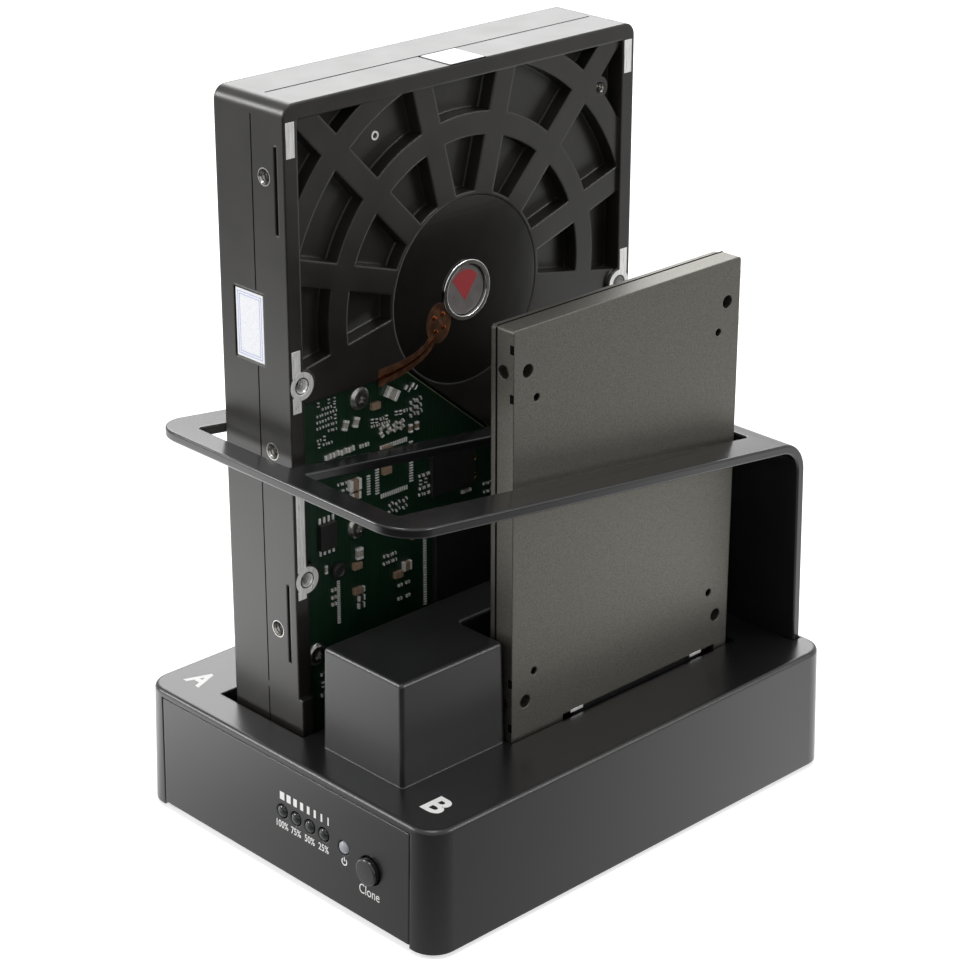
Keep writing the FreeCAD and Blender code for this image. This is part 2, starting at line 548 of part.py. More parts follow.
def make_board_parts():
    """Bridge chip, smaller chips, capacitors."""
    chip_x = "0.07 * board_wide"
    chip_y = "-0.26 * board_deep"
    chip = box("chip_block", chip_x, f"{chip_x} + chip_side", chip_y, f"{chip_y} + chip_side", BOARD_TOP,
               f"{BOARD_TOP} + chip_tall")
    node("bridge_chip", chip)
    small = [box(f"small_chip_{number}", f"{x} * board_wide", f"{x} * board_wide + 0.45 * chip_side",
                 f"{y} * board_deep", f"{y} * board_deep + 0.35 * chip_side", BOARD_TOP,
                 f"{BOARD_TOP} + 0.9 * chip_tall")
             for number, (x, y) in enumerate(((-0.32, -0.30), (-0.32, -0.21), (0.11, -0.10), (0.11, 0.26)))]
    node("board_chips", group("small_chips", *small))
    cans = []
    for number, (x, y) in enumerate(((-0.43, -0.18), (-0.43, -0.07), (-0.43, 0.04), (0.0, 0.35))):
        can = body(f"can_{number}", f"{x} * board_wide", f"{y} * board_deep", BOARD_TOP)
        profile = sketch(can, "XY_Plane")
        circle(profile, "0", "0", "can_radius")
        pad(can, profile, "can_tall")
        round_edges(can, "0.12 * can_radius", lambda edge: lies_at(edge, "z", "can_tall"))
        cans.append(can)
    node("capacitors", group("cans", *cans))


def make_lights():
    """Round lights in a holder that stands on the board's front edge."""
    back = f"({PANEL_BACK} + 4.5)"
    holder = box("holder_block", "light_x - light_pitch / 2", "power_light_x + light_pitch / 2", back,
                 f"{back} + 4", BOARD_TOP, "light_z + light_radius + 1.2")
    lights = []
    for number in range(4):
        lights.append(light(f"status_light_{number}", f"light_x + {number} * light_pitch", "light_z", back))
    power = light("power_light_body", "power_light_x", "power_light_z", back)
    node("light_holder", holder)
    node("status_lights", group("status_light_set", *lights))
    node("power_light", power)


def light(name, x, z, back):
    """A domed light that reaches from its holder into the panel's hole."""
    stem_end = f"({back} - light_long)"
    stem = rod(f"{name}_stem", "y", x, stem_end, z, "light_radius", "light_long")
    dome = doc.addObject("Part::Sphere", f"{name}_dome")
    place(dome, x, stem_end, z)
    bind(dome, "Radius", "light_radius")
    return fuse(name, stem, dome)


def make_button():
    """Sprung cap with a collar behind the panel, on the plunger of a switch on the board."""
    tip = f"({BASE_FRONT} - button_out)"
    collar = f"({PANEL_BACK} + seat_gap)"
    owner = body("clone_cap", "button_x", "0", "button_z")
    profile = sketch(owner, "YZ_Plane")
    stem_end = f"({PANEL_BACK} + 3.2)"
    polygon(profile, (tip, "0"), (stem_end, "0"), (stem_end, "button_stem"), (f"{collar} + 1", "button_stem"),
            (f"{collar} + 1", "button_radius + 0.8"), (collar, "button_radius + 0.8"),
            (collar, "button_radius"), (tip, "button_radius"))
    turn = owner.newObject("PartDesign::Revolution", "clone_turn")
    turn.Profile = profile
    turn.ReferenceAxis = (profile, ["H_Axis"])
    turn.Angle = 360
    round_edges(owner, "0.5", lambda edge: edge.BoundBox.YMax < value(tip) + 0.01
                and edge.BoundBox.ZLength > value("1.9 * button_radius"))
    node("clone_button", owner)
    plunger = rod("plunger_rod", "y", "button_x", stem_end, "button_z", "button_stem - 0.2", "2.6")
    node("switch_plunger", plunger)
    face = f"({stem_end} + button_travel + 0.3)"
    case = box("tact_case", "button_x - 3", "button_x + 3", face, f"{face} + 4", BOARD_TOP, "button_z + 3")
    bore = rod("tact_bore", "y", "button_x", f"{face} - 1", "button_z", "button_stem - 0.1",
               "3.8")
    node("button_switch", cut("tact_cut", case, bore))


def make_rear_connectors():
    """Square data port with a tongue, round power jack with a pin, and a rocker switch."""
    rear = f"({BASE_REAR} - 0.4)"
    top = BOARD_TOP
    shell = box("port_shell", "port_x - port_wide / 2", "port_x + port_wide / 2", f"{rear} - port_deep", rear,
                top, f"{top} + port_tall")
    inside = box("port_inside", "port_x - port_wide / 2 + port_metal", "port_x + port_wide / 2 - port_metal",
                 f"{rear} - port_deep + 2", f"{rear} + 1", f"{top} + port_metal",
                 f"{top} + port_tall - port_metal")
    node("data_port", cut("port_cut", shell, inside))
    tongue = box("port_tongue", "port_x - 0.23 * port_wide", "port_x + 0.23 * port_wide",
                 f"{rear} - port_deep + 2", f"{rear} - 1.5", f"{top} + 0.3 * port_tall",
                 f"{top} + 0.55 * port_tall")
    node("data_port_tongue", tongue)
    jack_z = f"({top} + jack_side / 2)"
    block = box("jack_block", "jack_x - jack_side / 2", "jack_x + jack_side / 2",
                f"{BASE_REAR} - wall - 0.6 - jack_deep", f"{BASE_REAR} - wall - 0.6", top, f"{top} + jack_side")
    nose = rod("jack_nose", "y", "jack_x", f"{BASE_REAR} - wall - 1.6", jack_z, "jack_radius", "wall + 1.2")
    bore = rod("jack_bore", "y", "jack_x", f"{rear} - 9", jack_z, "0.86 * jack_radius", "10")
    node("power_jack", cut("jack_cut", fuse("jack_blank", block, nose), bore))
    node("jack_pin", rod("jack_pin_rod", "y", "jack_x", f"{rear} - 9", jack_z, "jack_pin_radius", "8"))
    z0 = f"({top} + 1)"
    bezel_in = f"({BASE_REAR} - 0.15)"
    bezel_out = f"({BASE_REAR} + bezel_out)"
    barrel = box("switch_barrel", "switch_x - switch_wide / 2", "switch_x + switch_wide / 2",
                 f"{bezel_in} - switch_deep", bezel_out, top, f"{z0} + switch_tall")
    bezel = box("switch_bezel", "switch_x - switch_wide / 2 - bezel_out", "switch_x + switch_wide / 2 + bezel_out",
                bezel_in, bezel_out, f"{top} - bezel_out", f"{z0} + switch_tall + bezel_out")
    well = box("switch_well", "switch_x - switch_wide / 2 + 1.2", "switch_x + switch_wide / 2 - 1.2",
               f"{bezel_out} - 5.5", f"{bezel_out} + 1", f"{z0} + 0.2", f"{z0} + switch_tall - 1.2")
    pivot_y = f"({bezel_out} - 2.2)"
    pins = rod("switch_pivot", "z", "switch_x", pivot_y, z0, "0.6", "switch_tall - 0.6")
    gap = rod("rocker_hole", "z", "switch_x", pivot_y, z0, "0.65", "switch_tall")
    case = cut("switch_case_cut", fuse("switch_case_blank", barrel, bezel), well)
    node("switch_case", fuse("switch_case_whole", case, pins))
    reach = "(switch_wide / 2 - 1.8)"
    rocker = body("rocker_body", "switch_x", pivot_y, f"{z0} + 0.5")
    rocker.Placement.Rotation = FreeCAD.Rotation(FreeCAD.Vector(0, 0, 1), 0)
    bind(rocker, "Placement.Rotation.Angle", "rocker_tilt")
    profile = sketch(rocker, "XY_Plane")
    polygon(profile, (f"-{reach}", "0.3"), ("-1.2", "-1.5"), ("1.2", "-1.5"), (reach, "0.3"),
            (reach, "1.9"), ("0", "1.2"), (f"-{reach}", "1.9"))
    pad(rocker, profile, "switch_tall - 3")
    node("switch_rocker", cut("rocker_cut", rocker, gap))


# ---- 3.5-inch drive ----

def hdd_cover_side(depth):
    """Place along X at a depth behind the circuit-board side of the drive."""
    return f"(bay_a_face - ({depth}))"


def at_drive(across, along):
    """Place across and along the 3.5-inch drive, from its front side and its connector end."""
    return f"({HDD_FRONT} + {across})", f"({DRIVE_BOTTOM} + {along})"


def sector(owner, inner, outer, middle, half_pitch):
    """One pocket between two rings and two ribs, drawn about the drive's hub."""
    profile = sketch(owner, "YZ_Plane")
    hub = FreeCAD.Vector(0, 0, 0)
    radii = (value(inner), value(outer))
    half = [math.asin(0.5 * value("rib_wide") / radius) for radius in radii]
    low, high = middle - half_pitch, middle + half_pitch
    spots = []
    for radius, trim in zip(radii, half):
        spots.append(FreeCAD.Vector(radius * math.cos(low + trim), radius * math.sin(low + trim), 0))
        spots.append(FreeCAD.Vector(radius * math.cos(high - trim), radius * math.sin(high - trim), 0))
    for index, (radius, trim) in enumerate(zip(radii, half)):
        ring = Part.ArcOfCircle(Part.Circle(hub, FreeCAD.Vector(0, 0, 1), radius), low + trim, high - trim)
        profile.addGeometry(ring)
    profile.addGeometry(Part.LineSegment(spots[0], spots[2]))
    profile.addGeometry(Part.LineSegment(spots[1], spots[3]))
    for first, first_end, second, second_end in ((0, 1, 2, 1), (1, 1, 2, 2), (0, 2, 3, 1), (1, 2, 3, 2)):
        profile.addConstraint(Sketcher.Constraint("Coincident", first, first_end, second, second_end))
    for item, text in ((0, inner), (1, outer)):
        profile.addConstraint(Sketcher.Constraint("Coincident", item, 3, -1, 1))
        number = profile.addConstraint(Sketcher.Constraint("Radius", item, value(text)))
        bind(profile, f"Constraints[{number}]", text)
    return profile


def pocket_ring(name, inner, outer):
    """Pocket tools over the upper half of the hub, made from one sector and a polar pattern."""
    y, z = at_drive("hub_across", "hub_along")
    tools = body(name, hdd_cover_side("pocket_deep"), y, z)
    profile = sector(tools, inner, outer, math.radians(value("pocket_first")),
                     math.radians(value("pocket_pitch")) / 2)
    block = pad(tools, profile, "pocket_deep + 1")
    ring = tools.newObject("PartDesign::PolarPattern", f"{name}_pattern")
    ring.Originals = [block]
    ring.Axis = (profile, ["N_Axis"])
    bind(ring, "Angle", "6 * pocket_pitch")
    ring.Occurrences = 7
    tools.Tip = ring
    return tools


def make_hdd_casting():
    """Cast housing: open towards the cover, ribbed on the other side, with lugs and threaded holes."""
    stock = body("hdd_stock", "bay_a_face")
    profile = sketch(stock, "YZ_Plane")
    y0, z0 = at_drive("0", "0")
    y1, z1 = at_drive("hdd_wide", "hdd_long")
    rectangle(profile, y0, y1, z0, z1)
    pad(stock, profile, "hdd_rim", back=True)
    middle = value(z0) + 10
    round_edges(stock, "hdd_corner", lambda edge: runs_along(edge, "x") and edge.BoundBox.ZMin > middle)
    y2, z2 = at_drive("hdd_border", "hdd_long - hdd_border")
    y3 = at_drive("hdd_wide - hdd_border", "0")[0]
    bed = box("hdd_bed", hdd_cover_side("0.8"), hdd_cover_side("-1"), y2, y3, f"{z0} - 1", z2)
    board_bed = body("hdd_board_bed", hdd_cover_side("hdd_board_sink + hdd_board_thick"))
    board_outline(sketch(board_bed, "YZ_Plane"), "plug_gap")
    pad(board_bed, board_bed.Group[-1], "hdd_board_sink + hdd_board_thick + 1")
    rib_zone = box("hdd_rib_zone", hdd_cover_side("pocket_deep"), hdd_cover_side("-1"), y2, y3,
                   f"{z0} + hdd_board_tall + 2", z2)
    inner = common("hdd_inner_pockets", pocket_ring("inner_ring", "hub_radius + 1", "rib_inner"), rib_zone)
    outer = common("hdd_outer_pockets", pocket_ring("outer_ring", "rib_inner + rib_ring", "rib_outer"),
                   rib_zone)
    corners = common("hdd_corner_pockets", pocket_ring("corner_ring", "rib_outer + rib_ring", "corner_reach"),
                     rib_zone)
    hub_y, hub_z = at_drive("hub_across", "hub_along")
    motor_bore = rod("hdd_motor_bore", "x", hdd_cover_side("hdd_floor + 1"), hub_y, hub_z, "hub_radius - 4",
                     "hdd_floor + 2")
    dish_recess = rod("hdd_dish_recess", "x", hdd_cover_side("dish_sink"), hub_y, hub_z, "hub_radius + 0.1",
                      "dish_sink + 1")
    well = rod("hdd_platter_well", "x", hdd_cover_side("hdd_rim + 1"), hub_y, hub_z, "platter_radius + 0.9",
               "hdd_rim - hdd_floor + 1")
    arm_well = box("hdd_arm_well", hdd_cover_side("hdd_rim + 1"), hdd_cover_side("hdd_floor"),
                   f"{y0} + hdd_wide / 2 - 10", f"{y1} - hdd_border - 1", f"{z0} + 16.3", hub_z)
    plug_well = box("hdd_plug_well", hdd_cover_side("0.5 * socket_deep + plug_back"), hdd_cover_side("-1"),
                    "plug_y - socket_wide / 2 - plug_gap", "plug_y + socket_wide / 2 + plug_gap",
                    f"{z0} - 1", f"{z0} + 9")
    threads = []
    for number, along in enumerate(("side_hole_low", "side_hole_mid", "side_hole_top")):
        z = at_drive("0", along)[1]
        threads.append(rod(f"side_thread_front_{number}", "y", hdd_cover_side("side_hole_in"), f"{y0} - 1", z,
                           "thread_radius", "5"))
        threads.append(rod(f"side_thread_rear_{number}", "y", hdd_cover_side("side_hole_in"), f"{y1} - 4", z,
                           "thread_radius", "5"))
    lugs = []
    for number, along in enumerate(("lug_low", "lug_high")):
        for side, across in enumerate(("lug_in", "hdd_wide - lug_in")):
            y, z = at_drive(across, along)
            inward = "0.25" if side == 0 else "-0.25"
            lugs.append(rod(f"lug_{number}_{side}", "x", hdd_cover_side("hdd_floor"), f"{y} + {inward}", z,
                            "lug_radius", "hdd_floor"))
            threads.append(rod(f"lug_thread_{number}_{side}", "x", hdd_cover_side("4"), y, z, "thread_radius",
                               "5"))
    y, z = at_drive("91.9", "132.6")
    lugs.append(rod("corner_boss", "x", hdd_cover_side("hdd_floor"), y, z, "boss_radius", "hdd_floor - 1"))
    threads.append(rod("corner_thread", "x", hdd_cover_side("4"), y, z, "boss_bore", "5"))
    label_bed = box("hdd_label_bed", hdd_cover_side("17.4"), hdd_cover_side("7.8"), f"{y0} - 1",
                    f"{y0} + 0.3", f"{z0} + 88.7", f"{z0} + 104.5")
    slots = [box(f"hdd_side_slot_{number}", hdd_cover_side("side_slot_in + side_slot_wide / 2"),
                 hdd_cover_side("side_slot_in - side_slot_wide / 2"), f"{y0} - 1", f"{y0} + 1.5",
                 f"{z0} + {low}", f"{z0} + {low} + 18.6")
             for number, low in enumerate((21.6, 118.5))]
    bare = cut("hdd_bare", stock, bed, board_bed, inner, outer, corners, well, arm_well, motor_bore,
               dish_recess, label_bed, *slots)
    inside = common("hdd_lugs_inside", fuse("hdd_lugs", *lugs), stock)
    heel = box("hdd_heel", "bay_a_face - heel_wide", "bay_a_face + heel_out", y0, f"{y0} + heel_wide", z0,
               f"{z0} + heel_tall")
    whole = fuse("hdd_with_lugs", bare, inside, heel)
    node("hdd_casting", cut("hdd_casting_cut", whole, plug_well, *threads))


def make_hdd_cover():
    """Pressed cover with a raised middle, on the side away from the circuit board."""
    y0, z0 = at_drive("cover_inset", "cover_inset")
    y1, z1 = at_drive("hdd_wide - cover_inset", "hdd_long - cover_inset")
    step = "cover_raise_inset"
    flange = box("cover_flange", hdd_cover_side("hdd_rim + cover_thick"), hdd_cover_side("hdd_rim"), y0, y1,
                 z0, z1)
    raised = box("cover_raised", hdd_cover_side("hdd_thick"), hdd_cover_side("hdd_rim + 0.5 * cover_thick"),
                 f"{y0} + {step}", f"{y1} - {step}", f"{z0} + {step}", f"{z1} - {step}")
    hollow = box("cover_hollow", hdd_cover_side("hdd_thick - cover_thick"), hdd_cover_side("hdd_rim - 1"),
                 f"{y0} + {step} + cover_thick", f"{y1} - {step} - cover_thick",
                 f"{z0} + {step} + cover_thick", f"{z1} - {step} - cover_thick")
    node("hdd_cover", cut("cover_cut", fuse("cover_blank", flange, raised), hollow))
    heads = []
    for number, (across, along) in enumerate((("7", "7"), ("hdd_wide - 7", "7"), ("6", "hdd_long / 2"),
                                              ("hdd_wide - 6", "hdd_long / 2"), ("7", "hdd_long - 7"),
                                              ("hdd_wide - 7", "hdd_long - 7"))):
        y, z = at_drive(across, along)
        disc = rod(f"cover_screw_{number}", "x", hdd_cover_side("hdd_rim + cover_thick + 0.9"), y, z, "2.2",
                   "0.9")
        star = rod(f"cover_screw_star_{number}", "x", hdd_cover_side("hdd_rim + cover_thick + 1"), y, z,
                   "0.8", "0.7")
        heads.append(cut(f"cover_screw_cut_{number}", disc, star))
    node("hdd_cover_screws", group("cover_screw_set", *heads))


def board_outline(profile, spare):
    """Outline of the drive's circuit board, or of its bed when some room is left round it."""
    y0, z0 = at_drive(f"hdd_border + plug_gap - {spare}", f"0.5 - {spare}")
    y1 = at_drive(f"hdd_wide - hdd_border - plug_gap + {spare}", "0")[0]
    top = at_drive("0", f"hdd_board_tall + {spare}")[1]
    rise = at_drive("0", f"hdd_board_rise + {spare}")[1]
    knee_top = at_drive(f"knee_top + {spare}", "0")[0]
    knee_low = at_drive(f"knee_low + {spare}", "0")[0]
    polygon(profile, (y0, z0), (y1, z0), (y1, rise), (knee_low, rise), (knee_top, top), (y0, top))


def make_hdd_board():
    """Circuit board in its bed: tall beside the hub on the front side, lower under the hub."""
    board = body("hdd_board_body", hdd_cover_side("hdd_board_sink + hdd_board_thick"))
    profile = sketch(board, "YZ_Plane")
    board_outline(profile, "0")
    pad(board, profile, "hdd_board_thick")
    z0 = at_drive("0", "0")[1]
    plug_notch = box("hdd_board_notch", hdd_cover_side("hdd_thick"), hdd_cover_side("-1"),
                     "plug_y - socket_wide / 2 - 1", "hdd_rear", f"{z0} - 1", f"{z0} + 10")
    lug_notches = []
    for side, across in enumerate(("lug_in", "hdd_wide - lug_in")):
        y, z = at_drive(across, "lug_low")
        lug_notches.append(rod(f"hdd_board_lug_notch_{side}", "x", hdd_cover_side("hdd_thick"), y, z,
                               "lug_radius + 2 * plug_gap", "hdd_thick + 1"))
    node("hdd_board", cut("hdd_board_cut", board, plug_notch, *lug_notches))


def make_hdd_board_parts():
    """Screws, packages and a field of small parts on the outer side of the drive's board."""
    face = hdd_cover_side("hdd_board_sink")
    screws = []
    for number, (across, along) in enumerate((("21", "hdd_board_tall - 3.2"), ("19.6", "47.8"), ("7.2", "21.2"),
                                              ("hdd_wide - 14", "24"), ("hdd_wide - 14", "54"))):
        y, z = at_drive(across, along)
        head = rod(f"hdd_screw_head_{number}", "x", face, y, z, "2.6", "0.9")
        star = rod(f"hdd_screw_star_{number}", "x", f"{face} + 0.3", y, z, "0.9", "1")
        screws.append(cut(f"hdd_screw_{number}", head, star))
    node("hdd_board_screws", group("hdd_screw_set", *screws))
    chips = []
    # across, along, wide, tall of each package
    packages = ((42, 22, 20, 20), (66, 26, 14, 14), (41, 48.5, 13, 10), (8.6, 45.5, 4.6, 6.2), (66, 46, 12, 9))
    for number, (across, along, wide, tall) in enumerate(packages):
        y, z = at_drive(across, along)
        chips.append(box(f"hdd_chip_{number}", face, f"{face} + hdd_chip_tall", y, f"{y} + {wide}", z,
                         f"{z} + {tall}"))
    node("hdd_chips", group("hdd_chip_set", *chips))
    caps = []
    for number, (across, along) in enumerate(((27, 58), (27, 63), (24, 74), (30, 32), (18, 38), (18, 32),
                                              (35, 40), (60, 44), (60, 20))):
        y, z = at_drive(across, along)
        caps.append(box(f"hdd_cap_{number}", face, f"{face} + 0.8 * hdd_chip_tall", y, f"{y} + 2.4", z,
                        f"{z} + 1.6"))
    node("hdd_capacitors", group("hdd_cap_set", *caps))


def make_plug(name, middle, left, right):
    """A drive's own connector: a shroud open at the end, with a tongue inside for the socket's slot."""
    y0 = "plug_y - key_wide / 2 - plug_gap"
    y1 = "plug_y + key_wide / 2 + plug_gap"
    shroud = box(f"{name}_shroud", left, right, f"{y0} - 1.2", f"{y1} + 1.2", DRIVE_BOTTOM,
                 f"{DRIVE_BOTTOM} + key_tall + 3")
    well = box(f"{name}_well", f"{middle} - key_deep / 2 - plug_gap", f"{middle} + key_deep / 2 + plug_gap",
               y0, y1, f"{DRIVE_BOTTOM} - 1", f"{DRIVE_BOTTOM} + key_tall + 1")
    tongue = box(f"{name}_tongue", f"{middle} - plug_thick / 2", f"{middle} + plug_thick / 2",
                 "plug_y - plug_wide / 2", "plug_y + plug_wide / 2", f"{DRIVE_BOTTOM} + 0.5",
                 f"{DRIVE_BOTTOM} + key_tall + 1.5")
    node(name, fuse(f"{name}_whole", cut(f"{name}_cut", shroud, well), tongue))


def make_hdd_face():
    """Motor dish, chrome ring, cap, flex ribbon and blank labels."""
    hub_y, hub_z = at_drive("hub_across", "hub_along")
    dish = rod("motor_dish", "x", hdd_cover_side("dish_sink"), hub_y, hub_z, "hub_radius", "dish_sink - 0.8")
    stem = rod("motor_stem", "x", hdd_cover_side("hdd_floor + 0.6"), hub_y, hub_z, "hub_radius - 4.3",
               "hdd_floor - 2.4")
    bore = rod("motor_hole", "x", hdd_cover_side("1.6"), hub_y, hub_z, "ring_radius + 0.1", "3")
    node("hdd_motor_base", cut("motor_cut", fuse("motor_blank", dish, stem), bore))
    outer = rod("ring_outer", "x", hdd_cover_side("1.6"), hub_y, hub_z, "ring_radius", "1.3")
    inner = rod("ring_inner", "x", hdd_cover_side("2"), hub_y, hub_z, "ring_radius - 1.1", "3")
    node("hdd_motor_ring", cut("ring_cut", outer, inner))
    node("hdd_motor_cap", rod("motor_cap", "x", hdd_cover_side("1.6"), hub_y, hub_z, "ring_radius - 1.2", "0.5"))
    pad_y, pad_z = at_drive("42.6", "89.6")
    face = hdd_cover_side("0.8")
    oval = rod("flex_pad", "x", face, pad_y, pad_z, "4.7", "0.3")
    ribbon = body("flex_ribbon", face)
    profile = sketch(ribbon, "YZ_Plane")
    end_y, end_z = at_drive("24", "hdd_board_tall + 0.2")
    polygon(profile, (end_y, end_z), (f"{end_y} + 6", end_z), (f"{end_y} + 11.5", f"{end_z} + 1.6"),
            (f"{pad_y} + 1", f"{pad_z} - 4"), (f"{pad_y} - 3", f"{pad_z} - 2"), (f"{end_y} + 9", f"{end_z} + 4.6"))
    pad(ribbon, profile, "0.3")
    ring_zone = rod("flex_ring_zone", "x", hdd_cover_side("2"), hub_y, hub_z, "ring_radius + 0.2", "3")
    node("hdd_flex", cut("flex_cut", fuse("flex_whole", oval, ribbon), ring_zone))
    y0, z0 = at_drive("0", "0")
    side = box("side_label", hdd_cover_side("17.0"), hdd_cover_side("8.2"), f"{y0} + 0.1", f"{y0} + 0.3",
               f"{z0} + 89.1", f"{z0} + 104.1")
    node("hdd_side_label", side)
    end_label = box("end_label", hdd_cover_side("9.6"), hdd_cover_side("0.3"), f"{y0} + 46", f"{y0} + 55.8",
                    f"{z0} + hdd_long", f"{z0} + hdd_long + 0.15")
    node("hdd_end_label", end_label)


def make_platters():
    """Two platters on a hub with a spacer between them and a clamp on top, and their fixed spindle."""
    hub_y, hub_z = at_drive("hub_across", "hub_along")
    first = "(hdd_floor + 2.6)"
    discs = []
    for number in range(2):
        depth = f"({first} + {number} * platter_pitch + platter_thick)"
        disc = rod(f"platter_{number}", "x", hdd_cover_side(depth), hub_y, hub_z, "platter_radius",
                   "platter_thick")
        hole = rod(f"platter_hole_{number}", "x", hdd_cover_side(f"{depth} + 1"), hub_y, hub_z,
                   "hole_in_platter", "platter_thick + 2")
        discs.append(cut(f"platter_cut_{number}", disc, hole))
    node("hdd_platters", group("platter_set", *discs))
    end = f"({first} + platter_pitch + platter_thick)"
    hub_outer = rod("spindle_outer", "x", hdd_cover_side(end), hub_y, hub_z, "hole_in_platter - 0.02",
                    f"{end} - {first}")
    flange = rod("spindle_flange", "x", hdd_cover_side(first), hub_y, hub_z, "hole_in_platter + 2", "1")
    hollow = rod("spindle_hollow", "x", hdd_cover_side(f"{end} - 2"), hub_y, hub_z, "7.05", f"{end}")
    node("hdd_spindle_hub", cut("spindle_cut", fuse("spindle_blank", hub_outer, flange), hollow))
    ring = rod("spacer_outer", "x", hdd_cover_side(f"{first} + platter_pitch"), hub_y, hub_z,
               "hole_in_platter + 3", "platter_pitch - platter_thick")
    ring_hole = rod("spacer_hole", "x", hdd_cover_side(f"{first} + platter_pitch + 1"), hub_y, hub_z,
                    "hole_in_platter", "platter_pitch + 2")
    node("hdd_spacer", cut("spacer_cut", ring, ring_hole))
    node("hdd_clamp", rod("clamp_disc", "x", hdd_cover_side(f"{end} + 1.2"), hub_y, hub_z,
                          "hole_in_platter + 3", "1.2"))
    post = rod("spindle_post", "x", hdd_cover_side(f"{end} - 2.3"), hub_y, hub_z, "7", f"{end} - 2.9 - hdd_floor")
    node("hdd_spindle_post", post)


def make_arm():
    """Arm comb on its pivot post, with a coil between two magnets."""
    y, z = at_drive("pivot_across", "pivot_along")
    first = "(hdd_floor + 2.6)"
    base = "(hdd_floor + 1.4)"
    tall = "(platter_pitch + 2 * platter_thick + 2.4)"
    barrel = rod("arm_barrel", "x", hdd_cover_side(f"{base} + {tall}"), y, z, "6.5", tall)
    bore = rod("arm_bore", "x", hdd_cover_side(f"{base} + {tall} + 1"), y, z, "3.06", f"{tall} + 2")
    middle = f"({first} + platter_thick + (platter_pitch - platter_thick) / 2)"
    blade = body("arm_blade", hdd_cover_side(f"{middle} + arm_thick / 2"), y, z)
    profile = sketch(blade, "YZ_Plane")
    polygon(profile, ("-5", "-3"), ("5", "-3"), ("5.5", "4"), ("-12.5", "40"), ("-15.5", "39"), ("-6", "4"))
    pad(blade, profile, "arm_thick")
    tail = body("arm_tail", hdd_cover_side(f"{middle} + arm_thick / 2"), y, z)
    tail_profile = sketch(tail, "YZ_Plane")
    polygon(tail_profile, ("-4", "0"), ("-8", "-17"), ("8", "-17"), ("4", "0"))
    pad(tail, tail_profile, "arm_thick")
    node("hdd_arm", cut("arm_cut", fuse("arm_blank", barrel, blade, tail), bore))
    node("hdd_pivot_post", rod("pivot_post", "x", hdd_cover_side(f"{base} + {tall} + 0.3"), y, z, "3",
                               f"{base} + {tall} + 0.3 - hdd_floor"))
    coil_y, coil_z = f"({y} - 7)", f"({z} - 22)"
    coil = box("coil_block", hdd_cover_side(f"{middle} + arm_thick / 2"),
               hdd_cover_side(f"{middle} - arm_thick / 2"), coil_y, f"{coil_y} + 14", coil_z, f"{z} - 17")
    node("hdd_coil", coil)
    plates = [box(f"magnet_{number}", hdd_cover_side(f"{middle} + {far}"), hdd_cover_side(f"{middle} + {near}"),
                  f"{y} - 14", f"{y} + 14", f"{z} - 24", f"{z} - 14")
              for number, (near, far) in enumerate((("1.2", "4"), ("hdd_floor - " + middle, "-1.2")))]
    yoke = box("magnet_yoke", hdd_cover_side(f"{middle} + 4"), hdd_cover_side("hdd_floor"), f"{y} - 14",
               f"{y} + 14", f"{z} - 25.5", f"{z} - 23.6")
    node("hdd_magnets", fuse("magnet_whole", *plates, yoke))


# ---- 2.5-inch drive ----

def at_ssd(across, along):
    return f"({SSD_FRONT} + {across})", f"({DRIVE_BOTTOM} + {along})"


